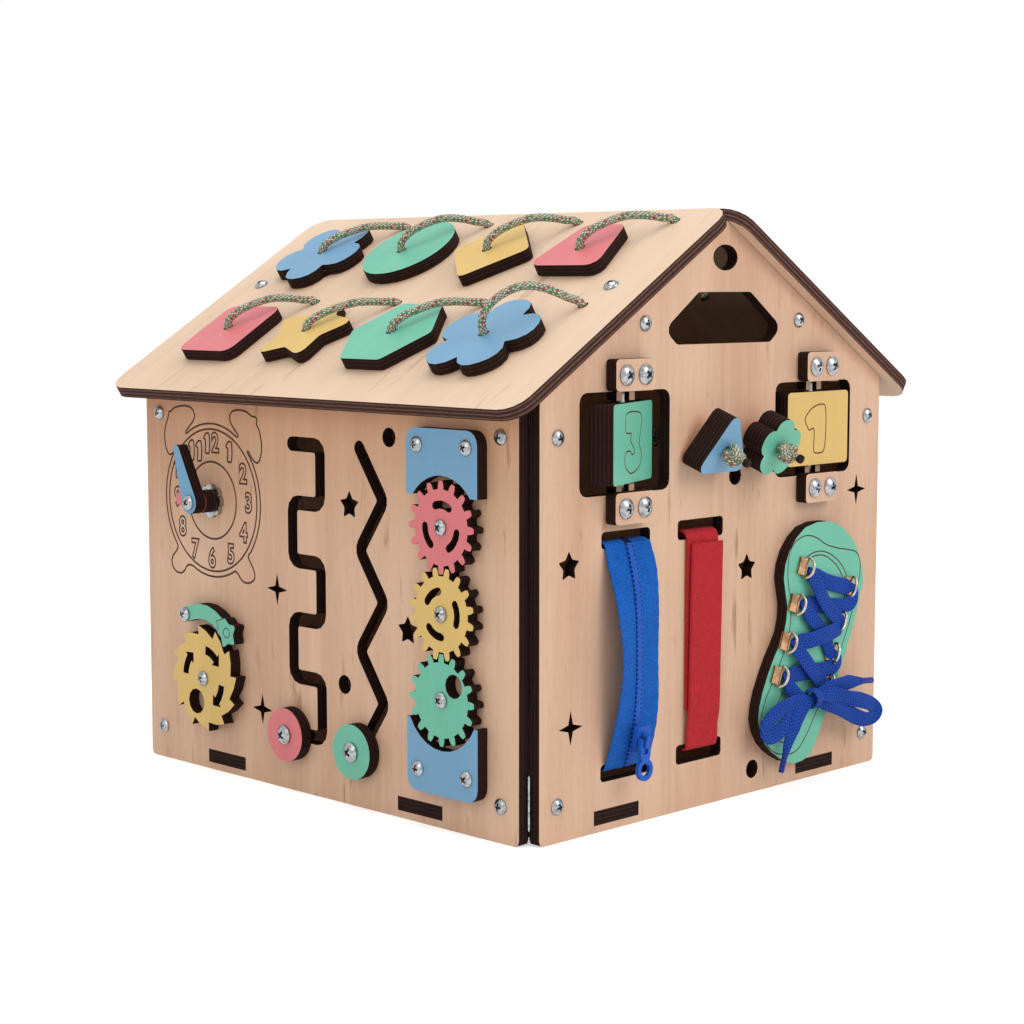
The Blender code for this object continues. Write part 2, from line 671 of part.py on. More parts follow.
def ribbon(name, look, profile, width, thickness, place):
    """A tape of even width: a bent line in the (v, w) plane, swept across u and given thickness."""
    shaped = bmesh.new()
    line = [shaped.verts.new((-width / 2, v, w)) for v, w in profile]
    edges = [shaped.edges.new(pair) for pair in zip(line, line[1:])]
    swept = bmesh.ops.extrude_edge_only(shaped, edges=edges)
    moved = [item for item in swept["geom"] if isinstance(item, bmesh.types.BMVert)]
    bmesh.ops.translate(shaped, verts=moved, vec=(width, 0, 0))
    bmesh.ops.recalc_face_normals(shaped, faces=shaped.faces)
    mesh = bpy.data.meshes.new(name)
    shaped.to_mesh(mesh)
    shaped.free()
    thing = add_object(name, mesh, look, place)
    solid = thing.modifiers.new("thickness", "SOLIDIFY")
    solid.thickness = thickness
    solid.offset = 0
    solid.use_even_offset = True
    return thing


def combine(thing, mesh, place, operation):
    """Joins a shape to a piece or cuts it out; its place is in the piece's own frame."""
    other = bpy.data.objects.new(f"{thing.name}_{operation.lower()}", mesh)
    cutters.objects.link(other)
    other.parent = house_origin
    other.matrix_local = thing.matrix_local @ place
    other.hide_render = True
    other.display_type = "WIRE"
    step = thing.modifiers.new(operation.lower(), "BOOLEAN")
    step.operation = operation
    step.solver = "EXACT"
    step.object = other


# The house shell

def bolt_hole(u, v):
    """A clearance hole for a bolt."""
    return circle((u, v), BOLT_SHANK_RADIUS + TOUCH_GAP, 10)


def wall_outline(half_width, height):
    """A side wall with small round corners."""
    return rounded(rectangle((0, height / 2), 2 * half_width, height), FOOT_CORNER, 2)


def tab_slot(u):
    """The slot that a floor tab stands in."""
    middle = FLOOR_LIFT + PLY / 2
    return rectangle((u, middle), TAB_LENGTH + 2 * TAB_CLEARANCE, PLY + 2 * TAB_CLEARANCE)


def meander_corners():
    """The corners of the square track from its foot, where the disc rests, to its top end."""
    sides = (MEANDER_LEFT_U, MEANDER_RIGHT_U)
    corners = []
    for level in range(MEANDER_LEVELS):
        height = MEANDER_FOOT_V + level * MEANDER_PITCH
        first, second = sides if level % 2 == 0 else reversed(sides)
        corners += [(first, height), (second, height)]
    return corners


def zigzag_corners():
    """The corners of the zigzag track from its foot, where the disc rests, to its top end."""
    sides = (ZIGZAG_LEFT_U, ZIGZAG_RIGHT_U)
    return [
        (sides[level % 2], ZIGZAG_FOOT_V + level * ZIGZAG_PITCH)
        for level in range(ZIGZAG_LEVELS)
    ]


def side_wall(name, place, holes):
    """A side wall: tab slots at its foot, and the holes that its toys need."""
    half = HOUSE_DEPTH / 2 - TOUCH_GAP
    slots = [tab_slot(-SIDE_TAB_CENTRE), tab_slot(SIDE_TAB_CENTRE)]
    return plate(name, "birch", [wall_outline(half, WALL_HEIGHT), *slots, *holes], place @ PLATE_BACK)


def gable_outline():
    """The five-sided end wall, its slopes just under the roof panels."""
    half = HOUSE_WIDTH / 2 - TOUCH_GAP
    apex = RIDGE_UNDER_Z - TOUCH_GAP / SLOPE_RUN
    shoulder = apex - half * math.tan(ROOF_PITCH)
    corners = [(-half, 0), (half, 0), (half, shoulder), (0, apex), (-half, shoulder)]
    return rounded(corners, FOOT_CORNER, 2)


def window_outline(centre_u):
    """A block's window, with a fork above and below that the axle's ends stand in."""
    half_width, half_height = WINDOW_WIDTH / 2, WINDOW_HEIGHT / 2
    fork, notch = FORK_WIDTH / 2, AXLE_NOTCH_WIDTH / 2
    fork_end = BLOCK_HEIGHT / 2 + FORK_CLEARANCE
    notch_end = half_height + AXLE_INTO_WALL + TOUCH_GAP
    right = [
        (fork, -half_height),
        *rounded_corner((half_width, -half_height), -1),
        *rounded_corner((half_width, half_height), 1),
        (fork, half_height),
        (fork, fork_end),
        (notch, fork_end),
        (notch, notch_end),
    ]
    foot = [(notch, -notch_end), (notch, -fork_end), (fork, -fork_end)]
    half = [*foot, *right]
    mirrored = [(-u, v) for u, v in reversed(half)]
    return [(centre_u + u, WINDOW_V + v) for u, v in [*half, *mirrored]]


def rounded_corner(corner, up):
    """A window's right-hand corner as an arc, from below to above."""
    centre = (corner[0] - WINDOW_CORNER, corner[1] - up * WINDOW_CORNER)
    start = -math.pi / 2 if up < 0 else 0
    return arc(centre, WINDOW_CORNER, start, start + math.pi / 2, 3)


def handle_opening():
    """The hand opening under the ridge, wide at its middle."""
    corners = [
        (-HANDLE_FOOT_HALF, HANDLE_FOOT_V),
        (HANDLE_FOOT_HALF, HANDLE_FOOT_V),
        (HANDLE_WIDE_HALF, HANDLE_WIDE_V),
        (HANDLE_TOP_HALF, HANDLE_TOP_V),
        (-HANDLE_TOP_HALF, HANDLE_TOP_V),
        (-HANDLE_WIDE_HALF, HANDLE_WIDE_V),
    ]
    return rounded(corners, HANDLE_CORNER)


def slot(centre_u, centre_v, width, height):
    """A tape's slot with small round corners."""
    return rounded(rectangle((centre_u, centre_v), width, height), TAPE_SLOT_CORNER, 2)


def rope_hole(u, v):
    """A hole that a rope runs through."""
    return circle((u, v), ROPE_RADIUS + ROPE_CLEARANCE, 10)


def front_gable():
    """The front gable, with every opening that its toys need."""
    holes = [
        oval((0, OVAL_V), OVAL_HALF_WIDTH, OVAL_HALF_HEIGHT),
        handle_opening(),
        window_outline(-WINDOW_U),
        window_outline(WINDOW_U),
        slot(ZIP_U, ZIP_TOP_SLOT_V, ZIP_SLOT_WIDTH, ZIP_SLOT_HEIGHT),
        slot(ZIP_U, ZIP_FOOT_SLOT_V, ZIP_SLOT_WIDTH, ZIP_SLOT_HEIGHT),
        slot(STRAP_U, STRAP_TOP_SLOT_V, STRAP_SLOT_WIDTH, STRAP_SLOT_HEIGHT),
        slot(STRAP_U, STRAP_FOOT_SLOT_V, STRAP_SLOT_WIDTH, STRAP_SLOT_HEIGHT),
        rope_hole(TRIANGLE_KNOB_U, KNOB_V),
        rope_hole(FLOWER_KNOB_U, KNOB_V),
        tab_slot(-GABLE_TAB_CENTRE),
        tab_slot(GABLE_TAB_CENTRE),
        *[circle(centre, PEEP_RADIUS) for centre in GABLE_PEEPS],
        *[star(centre) for centre in GABLE_STARS],
        *[sparkle(centre) for centre in GABLE_SPARKLES],
    ]
    return plate("front_gable", "birch", [gable_outline(), *holes], FRONT @ PLATE_BACK)


def rear_gable():
    """The rear gable: the same panel with a hand opening and a few cut-outs."""
    holes = [
        oval((0, OVAL_V), OVAL_HALF_WIDTH, OVAL_HALF_HEIGHT),
        handle_opening(),
        tab_slot(-GABLE_TAB_CENTRE),
        tab_slot(GABLE_TAB_CENTRE),
        *[circle(centre, PEEP_RADIUS) for centre in REAR_PEEPS],
        *[star(centre) for centre in REAR_STARS],
        *[sparkle(centre) for centre in REAR_SPARKLES],
    ]
    return plate("rear_gable", "birch", [gable_outline(), *holes], REAR @ PLATE_BACK)


def floor_panel():
    """The floor, with two tabs in each wall."""
    half_u = HOUSE_WIDTH / 2 - TOUCH_GAP
    half_v = HOUSE_DEPTH / 2 - TOUCH_GAP
    out_u = WALL_OUT_X - TOUCH_GAP
    out_v = GABLE_OUT_Y - TOUCH_GAP
    half_tab = TAB_LENGTH / 2
    quarter = [(half_u, 0)]
    for v in (SIDE_TAB_CENTRE - half_tab, SIDE_TAB_CENTRE + half_tab):
        outward = (half_u, out_u) if v < SIDE_TAB_CENTRE else (out_u, half_u)
        quarter += [(u, v) for u in outward]
    quarter.append((half_u, half_v))
    for u in (GABLE_TAB_CENTRE + half_tab, GABLE_TAB_CENTRE - half_tab):
        outward = (half_v, out_v) if u > GABLE_TAB_CENTRE else (out_v, half_v)
        quarter += [(u, v) for v in outward]
    upper = [*quarter, *[(-u, v) for u, v in reversed(quarter)]]
    lower = [(-u, -v) for u, v in upper[1:-1]]
    outline = [*upper, *lower]
    return plate("floor_panel", "birch", [outline], Matrix.Translation((0, 0, FLOOR_LIFT)))


def roof_panel(name, place, holes):
    """A roof panel: its top edge at v = 0 on the ridge, its eave down the slope."""
    half = GABLE_OUT_Y + ROOF_OVERHANG
    corners = [(-half, -ROOF_SLOPE), (half, -ROOF_SLOPE), (half, -TOUCH_GAP), (-half, -TOUCH_GAP)]
    outline = rounded(corners, ROOF_CORNER, 4)
    return plate(name, "birch", [outline, *holes], place @ PLATE_BACK)


# Clock

def tapered(length, hub, tip):
    """A clock hand: a hub, a narrower tip and straight sides between them."""
    lean = math.acos((hub - tip) / length)
    return [*arc((0, 0), hub, lean, math.tau - lean, 9), *arc((length, 0), tip, -lean, lean, 4)]


def make_clock():
    """The rosette, the two hands one over the other, and the bolt that they turn on."""
    bore = circle((0, 0), BOLT_SHANK_RADIUS + RUNNING_GAP, 10)
    rosette = flower((0, 0), ROSETTE_RADIUS, ROSETTE_DIP, ROSETTE_LOBES, steps=48)
    seat = TOUCH_GAP
    plate("clock_rosette", "steel", [rosette, bore], turned(LEFT, CLOCK_U, CLOCK_V, seat), ROSETTE_THICKNESS)
    seat += ROSETTE_THICKNESS + RUNNING_GAP
    hour = tapered(HOUR_HAND_LENGTH, HAND_HUB_RADIUS, HOUR_HAND_TIP_RADIUS)
    plate("hour_hand", "coral", [hour, bore], turned(LEFT, CLOCK_U, CLOCK_V, seat, HOUR_HAND_ANGLE))
    seat += PLY + RUNNING_GAP
    minute = tapered(MINUTE_HAND_LENGTH, HAND_HUB_RADIUS, MINUTE_HAND_TIP_RADIUS)
    plate("minute_hand", "blue", [minute, bore], turned(LEFT, CLOCK_U, CLOCK_V, seat, MINUTE_HAND_ANGLE))
    seat += PLY + TOUCH_GAP
    bolt("clock_bolt", turned(LEFT, CLOCK_U, CLOCK_V, 0), seat)


# Ratchet wheel and pawl

def ratchet_outline():
    """Saw teeth: each drops steeply behind its tip and climbs slowly to the next."""
    ring = []
    pitch = math.tau / RATCHET_TEETH
    middle = (RATCHET_TIP_RADIUS + RATCHET_ROOT_RADIUS) / 2
    for tooth in range(RATCHET_TEETH):
        tip = RATCHET_TIP_ANGLE + tooth * pitch
        for reach, angle in (
            (RATCHET_TIP_RADIUS, tip),
            (RATCHET_ROOT_RADIUS, tip + RATCHET_STEP),
            (middle, tip + pitch * RATCHET_RAMP_SHARE),
        ):
            ring.append((reach * math.cos(angle), reach * math.sin(angle)))
    return ring


def arrow_slot(middle):
    """A short curved arrow cut through the wheel, its head pointing clockwise."""
    tail, neck, point = (middle + ARROW_SPAN * share for share in ARROW_ANGLE_SHARES)
    shaft, head = ARROW_WIDTH / 2, ARROW_HEAD_WIDTH / 2
    outer = arc((0, 0), ARROW_RADIUS + shaft, neck, tail, 3)
    inner = arc((0, 0), ARROW_RADIUS - shaft, tail, neck, 3)
    barb_in, tip, barb_out = (
        (reach * math.cos(angle), reach * math.sin(angle))
        for reach, angle in (
            (ARROW_RADIUS - head, neck),
            (ARROW_RADIUS, point),
            (ARROW_RADIUS + head, neck),
        )
    )
    return [*outer, *inner, barb_in, tip, barb_out]


def make_ratchet():
    """The saw-toothed wheel and the comet-shaped pawl whose star stops it turning back."""
    bore = circle((0, 0), BOLT_SHANK_RADIUS + RUNNING_GAP, 10)
    finger = (
        RATCHET_FINGER_OUT * math.cos(RATCHET_FINGER_ANGLE),
        RATCHET_FINGER_OUT * math.sin(RATCHET_FINGER_ANGLE),
    )
    arrows = [arrow_slot(angle) for angle in ARROW_MIDDLES]
    wheel = [ratchet_outline(), bore, circle(finger, FINGER_HOLE_RADIUS), *arrows]
    plate("ratchet_wheel", "yellow", wheel, turned(LEFT, RATCHET_U, RATCHET_V, RUNNING_GAP))
    seat = RUNNING_GAP + PLY + TOUCH_GAP
    bolt("ratchet_bolt", turned(LEFT, RATCHET_U, RATCHET_V, 0), seat)
    run = Vector((PAWL_STAR_U - PAWL_PIVOT_U, PAWL_STAR_V - PAWL_PIVOT_V))
    across = Vector((-run.y, run.x)).normalized()
    arm = [
        run * share + across * (PAWL_RISE * math.sin(math.pi * share))
        for share in PAWL_ARM_SHARES
    ]
    pawl = plate(
        "comet_pawl",
        "mint",
        [band(arm, PAWL_WIDTH, PAWL_WIDTH), bore],
        turned(LEFT, PAWL_PIVOT_U, PAWL_PIVOT_V, RUNNING_GAP),
    )
    head = star_corners(run, PAWL_STAR_RADIUS, PAWL_STAR_WAIST_SHARE, 5, PAWL_STAR_ANGLE)
    combine(pawl, plate_mesh([rounded(head, PAWL_STAR_FILLET, 2)], PLY), AS_IT_IS, "UNION")
    bolt("pawl_bolt", turned(LEFT, PAWL_PIVOT_U, PAWL_PIVOT_V, 0), seat)


# Track discs

def make_track_discs():
    """A painted disc at the foot of each track; its bolt runs in the slot."""
    bore = circle((0, 0), SLEEVE_RADIUS + DISC_BORE_CLEARANCE, 12)
    for name, look, foot in (
        ("meander", "coral", (MEANDER_LEFT_U, MEANDER_FOOT_V)),
        ("zigzag", "mint", (ZIGZAG_LEFT_U, ZIGZAG_FOOT_V)),
    ):
        outline = circle((0, 0), DISC_RADIUS, 36)
        disc = plate(f"{name}_disc", look, [outline, bore], turned(LEFT, *foot, RUNNING_GAP))
        smooth(disc)
        bolt(
            f"{name}_bolt",
            turned(LEFT, *foot, 0),
            RUNNING_GAP + PLY + TOUCH_GAP,
            SLEEVE_RADIUS,
            TRACK_WASHER_RADIUS,
            TRACK_WASHER_HEIGHT,
        )


# Gear train

def gear_outline(phase):
    """Involute teeth for the train's centre distance, thinned by the backlash."""
    pitch_radius = GEAR_CENTRES / 2
    base = pitch_radius * math.cos(GEAR_PRESSURE_ANGLE)
    half_tooth = (math.pi * pitch_radius / GEAR_TEETH - GEAR_BACKLASH / 2) / (2 * pitch_radius)

    def unroll(radius):
        pressure = math.acos(min(1, base / radius))
        return math.tan(pressure) - pressure

    at_pitch = unroll(pitch_radius)
    lowest = max(base, GEAR_ROOT_RADIUS + GEAR_ROOT_FILLET)
    reaches = [lowest + (GEAR_TIP_RADIUS - lowest) * share for share in GEAR_FLANK_SHARES]
    ring = []
    for tooth in range(GEAR_TEETH):
        middle = phase + math.tau * tooth / GEAR_TEETH
        spread = [half_tooth + at_pitch - unroll(reach) for reach in reaches]
        root = (GEAR_ROOT_RADIUS, half_tooth + at_pitch)
        flank = [root, *zip(reaches, spread)]
        polar = [(reach, middle - half) for reach, half in flank]
        polar += [(reach, middle + half) for reach, half in reversed(flank)]
        ring += [(reach * math.cos(angle), reach * math.sin(angle)) for reach, angle in polar]
    return ring


def make_gears():
    """Three equal gears in mesh, one above the other, each on its own bolt."""
    bore = circle((0, 0), BOLT_SHANK_RADIUS + RUNNING_GAP, 10)
    finger = (
        GEAR_FINGER_OUT * math.cos(GEAR_FINGER_ANGLE),
        GEAR_FINGER_OUT * math.sin(GEAR_FINGER_ANGLE),
    )
    half_pitch = math.pi / GEAR_TEETH
    train = (
        ("top_gear", "coral", 0, GEAR_TOP_SLOTS),
        ("middle_gear", "yellow", half_pitch, GEAR_MIDDLE_SLOTS),
        ("bottom_gear", "mint", 0, ()),
    )
    for place_down, (name, look, phase, slots) in enumerate(train):
        v = TOP_GEAR_V - place_down * GEAR_CENTRES
        cuts = [arc_slot(GEAR_SLOT_RADIUS, GEAR_SLOT_WIDTH, angle, GEAR_SLOT_SPAN) for angle in slots]
        cuts = cuts or [circle(finger, GEAR_FINGER_RADIUS)]
        plate(name, look, [gear_outline(phase), bore, *cuts], turned(LEFT, GEAR_U, v, RUNNING_GAP))
        bolt(f"{name}_bolt", turned(LEFT, GEAR_U, v, 0), RUNNING_GAP + PLY + TOUCH_GAP)


def make_guards():
    """A painted guard above and below the train, hollowed round the gear that it shields."""
    hollow = GEAR_TIP_RADIUS + GUARD_ARC_CLEARANCE
    foot_gear_v = TOP_GEAR_V - 2 * GEAR_CENTRES
    for name, gear_v, height, up in (
        ("upper_guard", TOP_GEAR_V, UPPER_GUARD_HEIGHT, 1),
        ("lower_guard", foot_gear_v, LOWER_GUARD_HEIGHT, -1),
    ):
        near = GUARD_REACH - height
        mouth = math.asin(near / hollow)
        half = math.sqrt(hollow**2 - near**2)
        lip = [(-GUARD_HALF_WIDTH, near), (-half, near)]
        hollow_arc = arc((0, 0), hollow, math.pi - mouth, mouth, 10)[1:-1]
        shoulder = GUARD_HALF_WIDTH - GUARD_CORNER
        right = arc((shoulder, GUARD_REACH - GUARD_CORNER), GUARD_CORNER, 0, math.pi / 2, 4)
        left = arc((-shoulder, GUARD_REACH - GUARD_CORNER), GUARD_CORNER, math.pi / 2, math.pi, 4)
        outline = [*lip, *hollow_arc, (half, near), (GUARD_HALF_WIDTH, near), *right, *left]
        outline = [(u, up * v) for u, v in outline]
        plate(name, "blue", [outline], turned(LEFT, GEAR_U, gear_v, TOUCH_GAP))


# Number blocks

def make_number_blocks():
    """Two painted blocks that turn on upright rods, and the caps that hold the rods in."""
    rod_half = WINDOW_HEIGHT / 2 + AXLE_INTO_WALL
    from_window = (WINDOW_HEIGHT + CAP_HEIGHT) / 2
    upper_cap_v = WINDOW_V + from_window + UPPER_CAP_GAP
    lower_cap_v = WINDOW_V - from_window + LOWER_CAP_LAP
    stand = Matrix.Rotation(-math.pi / 2, 4, "X")
    for name, look, u, angle in (
        ("three", "mint", -WINDOW_U, BLOCK_TURN),
        ("one", "yellow", WINDOW_U, 0),
    ):
        face = rounded(rectangle((0, 0), BLOCK_WIDTH, BLOCK_HEIGHT), BLOCK_CORNER, 2)
        mesh = plate_mesh([face], BLOCK_THICKNESS)
        mesh.transform(Matrix.Translation((0, 0, -BLOCK_THICKNESS / 2)))
        middle = FRONT @ Matrix.Translation((u, WINDOW_V, -PLY / 2))
        placed = middle @ Matrix.Rotation(angle, 4, "Y")
        block = add_object(f"number_block_{name}", mesh, look, placed)
        rod = plate_mesh([circle((0, 0), AXLE_RADIUS, 12)], 2 * rod_half)
        rod.transform(Matrix.Translation((0, 0, -rod_half)))
        combine(block, rod, stand, "UNION")
        for side, v in (("upper", upper_cap_v), ("lower", lower_cap_v)):
            cap = rounded(rectangle((0, 0), CAP_WIDTH, CAP_HEIGHT), CAP_CORNER, 2)
            plate(f"{side}_cap_{name}", "birch", [cap], turned(FRONT, u, v, TOUCH_GAP))


# Ropes and knobs

def knot(start, way):
    """Places and radius shares along a knot: the rope swells and thins again."""
    return [(start + way * (KNOT_LENGTH * along), swell) for along, swell in KNOT_SWELL_SHARES]


def knot_and_tail(start, way):
    """A knot that starts at a point, and the short tail of rope beyond it."""
    return [*knot(start, way), (start + way * (KNOT_LENGTH + ROPE_TAIL), 1)]


def rope(name, stations, place):
    """A rope through (place, radius share) stations."""
    points = [tuple(point) for point, _ in stations]
    swellings = {i: share for i, (_, share) in enumerate(stations)}
    smooth(add_object(name, tube_mesh(points, ROPE_RADIUS, swellings), "rope", place))


def make_knobs():
    """A triangle and a flower, each hanging on a knotted rope that runs back through the gable."""
    corners = [
        (TRIANGLE_KNOB_RADIUS * math.cos(angle), TRIANGLE_KNOB_RADIUS * math.sin(angle))
        for angle in (math.pi / 2, math.pi * 7 / 6, math.pi * 11 / 6)
    ]
    triangle = rounded(corners, TRIANGLE_KNOB_CORNER, 4)
    petals = flower((0, 0), FLOWER_KNOB_RADIUS, FLOWER_KNOB_DIP, FLOWER_KNOB_LOBES, math.pi / 2)
    bore = circle((0, 0), ROPE_RADIUS + ROPE_CLEARANCE, 10)
    for name, look, u, outline in (
        ("triangle", "blue", TRIANGLE_KNOB_U, triangle),
        ("flower", "mint", FLOWER_KNOB_U, petals),
    ):
        low = -min(v for _, v in outline)
        out = low * math.sin(KNOB_DROOP) + KNOB_REST_GAP
        bend = TOUCH_GAP + ROPE_RADIUS * math.tan(KNOB_DROOP / 2)
        drop = (out - bend) * math.tan(KNOB_DROOP)
        hole = FRONT @ Matrix.Translation((u, KNOB_V, 0))
        hang = Matrix.Translation((0, -drop, out)) @ Matrix.Rotation(KNOB_DROOP, 4, "X")
        plate(f"{name}_knob", look, [outline, bore], hole @ hang, KNOB_THICKNESS)
        outward = hang.to_3x3() @ Vector((0, 0, 1))
        front = hang @ Vector((0, 0, KNOB_THICKNESS + TOUCH_GAP))
        back = Vector((0, 0, -PLY - KNOB_PULL - RUNNING_GAP))
        behind = reversed(knot_and_tail(back, Vector((0, 0, -1))))
        between = [(Vector((0, 0, bend)), 1), (hang.translation, 1)]
        rope(f"{name}_rope", [*behind, *between, *knot_and_tail(front, outward)], hole)


# Zipper

def zip_arc():
    """Radius and centre of the arc that the zipper's tape bows out on."""
    lift = ZIP_TAPE_THICKNESS / 2 + TOUCH_GAP
    top = ZIP_TOP_SLOT_V - ZIP_SLOT_HEIGHT / 2 + ZIP_ARC_INSET
    foot = ZIP_FOOT_SLOT_V + ZIP_SLOT_HEIGHT / 2 - ZIP_ARC_INSET
    half = (top - foot) / 2
    radius = (half**2 + ZIP_BOW**2) / (2 * ZIP_BOW)
    return radius, ((top + foot) / 2, lift + ZIP_BOW - radius), math.asin(half / radius)


def make_zipper():
    """The bowed tape with its chain of teeth, the slider that rides on it, and the pull."""
    radius, (centre_v, centre_w), half_angle = zip_arc()
    bow = [
        (centre_v + radius * math.sin(angle), centre_w + radius * math.cos(angle))
        for angle in (half_angle * (2 * i / ZIP_ARC_STEPS - 1) for i in range(ZIP_ARC_STEPS + 1))
    ]
    behind = -PLY - TOUCH_GAP - ZIP_TAPE_THICKNESS / 2
    nudge = ZIP_SLOT_HEIGHT * TAPE_NUDGE_SHARE
    foot = [
        (ZIP_FOOT_SLOT_V - ZIP_SLOT_HEIGHT / 2 - ZIP_TAIL, behind),
        (ZIP_FOOT_SLOT_V - nudge, behind),
        (ZIP_FOOT_SLOT_V + nudge, -PLY * TAPE_SINK_SHARE),
    ]
    top = [
        (ZIP_TOP_SLOT_V - nudge, -PLY * TAPE_SINK_SHARE),
        (ZIP_TOP_SLOT_V + nudge, behind),
        (ZIP_TOP_SLOT_V + ZIP_SLOT_HEIGHT / 2 + ZIP_TAIL, behind),
    ]
    place = FRONT @ Matrix.Translation((ZIP_U, 0, 0))
    tape = ribbon("zip_tape", "zip_blue", [*foot, *bow, *top], ZIP_TAPE_WIDTH, ZIP_TAPE_THICKNESS, place)
    chain = ribbon_mesh(bow[1:-1], ZIP_CHAIN_WIDTH, ZIP_TAPE_THICKNESS + 2 * ZIP_TEETH_RISE)
    combine(tape, chain, AS_IT_IS, "UNION")
    lean = math.asin((centre_v - ZIP_SLIDER_V) / radius)
    hub = place @ Matrix.Translation((0, centre_v, centre_w)) @ Matrix.Rotation(lean, 4, "X")
    seat = radius + ZIP_TAPE_THICKNESS / 2 + ZIP_TEETH_RISE + RUNNING_GAP
    half_long, half_wide, nose = ZIP_SLIDER_LENGTH / 2, ZIP_SLIDER_WIDTH / 2, ZIP_SLIDER_NOSE / 2
    shield = rounded(
        [(-nose, -half_long), (nose, -half_long), (half_wide, half_long), (-half_wide, half_long)],
        ZIP_SLIDER_CORNER,
        2,
    )
    mesh = plate_mesh([shield], ZIP_SLIDER_THICKNESS)
    mesh.transform(Matrix.Translation((0, 0, seat)))
    slider = add_object("zip_slider", mesh, "zip_blue", hub)
    top_face = seat + ZIP_SLIDER_THICKNESS
    half_bail = ZIP_BAIL_LENGTH / 2
    inside = half_bail - ZIP_BAIL_WALL
    arch = [
        (-half_bail, -ZIP_BAIL_WALL / 2),
        (-inside, -ZIP_BAIL_WALL / 2),
        (-inside, ZIP_BAIL_HEIGHT - ZIP_BAIL_WALL),
        (inside, ZIP_BAIL_HEIGHT - ZIP_BAIL_WALL),
        (inside, -ZIP_BAIL_WALL / 2),
        (half_bail, -ZIP_BAIL_WALL / 2),
        (half_bail, ZIP_BAIL_HEIGHT),
        (-half_bail, ZIP_BAIL_HEIGHT),
    ]
    bail = plate_mesh([arch], ZIP_BAIL_WIDTH)
    bail.transform(Matrix.Translation((0, 0, -ZIP_BAIL_WIDTH / 2)))
    sideways = Matrix(((0, 0, 1, 0), (1, 0, 0, 0), (0, 1, 0, top_face), (0, 0, 0, 1)))
    combine(slider, bail, sideways, "UNION")
    bar = (ZIP_BAIL_HEIGHT - ZIP_BAIL_WALL) / 2
    pin = (hub @ Matrix.Translation((0, 0, top_face + bar))).translation
    make_zip_pull(Matrix.Translation(pin) @ FRONT.to_3x3().to_4x4())


def make_zip_pull(place):
    """The pull: an eye round the bail, a stem that widens, and a finger ring."""
    half, bar = ZIP_PULL_WIDTH / 2, ZIP_PULL_THICKNESS / 2
    ring = ZIP_PULL_RING_RADIUS
    ring_v = bar + ring - ZIP_PULL_LENGTH
    outline = [
        (half, bar),
        (-half, bar),
        (-half, -ZIP_PULL_EYE_LENGTH - 2 * bar),
        *arc((0, ring_v), ring, *ZIP_PULL_RING_ARC, 14),
        (half, -ZIP_PULL_EYE_LENGTH - 2 * bar),
    ]
    eye = rectangle((0, -bar - ZIP_PULL_EYE_LENGTH / 2), ZIP_PULL_EYE_WIDTH, ZIP_PULL_EYE_LENGTH)
    hole = circle((0, ring_v), ZIP_PULL_RING_HOLE, 14)
    mesh = plate_mesh([outline, eye, hole], ZIP_PULL_THICKNESS)
    mesh.transform(Matrix.Translation((0, 0, -bar)))
    return add_object("zip_pull", mesh, "zip_blue", place)


def ribbon_mesh(profile, width, thickness):
    """A ribbon's closed mesh, for joining into another piece."""
    maker = ribbon("ribbon_maker", "zip_blue", profile, width, thickness, Matrix.Identity(4))
    view = bpy.context.evaluated_depsgraph_get()
    mesh = bpy.data.meshes.new_from_object(maker.evaluated_get(view))
    bpy.data.objects.remove(maker)
    return mesh


# Hook-and-loop strap

def make_straps():
    """The loop half hangs from the top slot; the hook half comes up from the foot slot over it."""
    place = FRONT @ Matrix.Translation((STRAP_U, 0, 0))
    behind = -PLY - TOUCH_GAP - STRAP_THICKNESS / 2
    lift = STRAP_THICKNESS / 2 + TOUCH_GAP
    nudge = STRAP_SLOT_HEIGHT * TAPE_NUDGE_SHARE
    edge = STRAP_TOP_SLOT_V - STRAP_SLOT_HEIGHT / 2
    under = [
        (STRAP_TOP_SLOT_V + STRAP_SLOT_HEIGHT / 2 + STRAP_TAIL, behind),
        (STRAP_TOP_SLOT_V + nudge, behind),
        (STRAP_TOP_SLOT_V - nudge, 0),
        (edge + TOUCH_GAP, lift),
        (STRAP_UNDER_END_V, lift),
    ]
    ribbon("loop_strap", "strap_red", under, STRAP_WIDTH, STRAP_THICKNESS, place)
    over = lift + STRAP_THICKNESS + STRAP_STACK_GAP
    upper = [
        (STRAP_HINGE_V, -STRAP_HINGE_IN),
        (STRAP_MOUTH_V, lift + TOUCH_GAP),
        (STRAP_BRIDGE_V, (lift + over) / 2),
        (STRAP_UNDER_END_V - STRAP_LAP_CLEARANCE, over),
        (STRAP_UPPER_END_V, over),
    ]
    hinge_v, hinge_w = upper[0]
    upper = [(v - hinge_v, w - hinge_w) for v, w in upper]
    hinge = place @ Matrix.Translation((0, hinge_v, hinge_w))
    ribbon("hook_strap", "strap_red", upper, STRAP_WIDTH, STRAP_THICKNESS, hinge)


# Shoe

def smooth_ring(points, steps=2):
    """A closed smooth curve through the given points."""
    ring = []
    count = len(points)
    for i in range(count):
        before, here, after, later = (Vector(points[(i + k) % count]) for k in (-1, 0, 1, 2))
        for k in range(steps):
            t = k / steps
            ring.append(
                tuple(
                    0.5
                    * (
                        2 * here
                        + (after - before) * t
                        + (2 * before - 5 * here + 4 * after - later) * t**2
                        + (3 * here - before - 3 * after + later) * t**3
                    )
                )
            )
    return ring


def make_shoe():
    """The shoe's sole plate, leaning on the gable, and its lace tied in a bow."""
    plate("shoe_sole", "mint", [smooth_ring(SOLE_OUTLINE)], turned(FRONT, 0, 0, TOUCH_GAP))
    lace = add_object("shoe_lace", tube_mesh(LACE_ROUTE, LACE_RADIUS), "lace_blue", FRONT)
    smooth(lace)


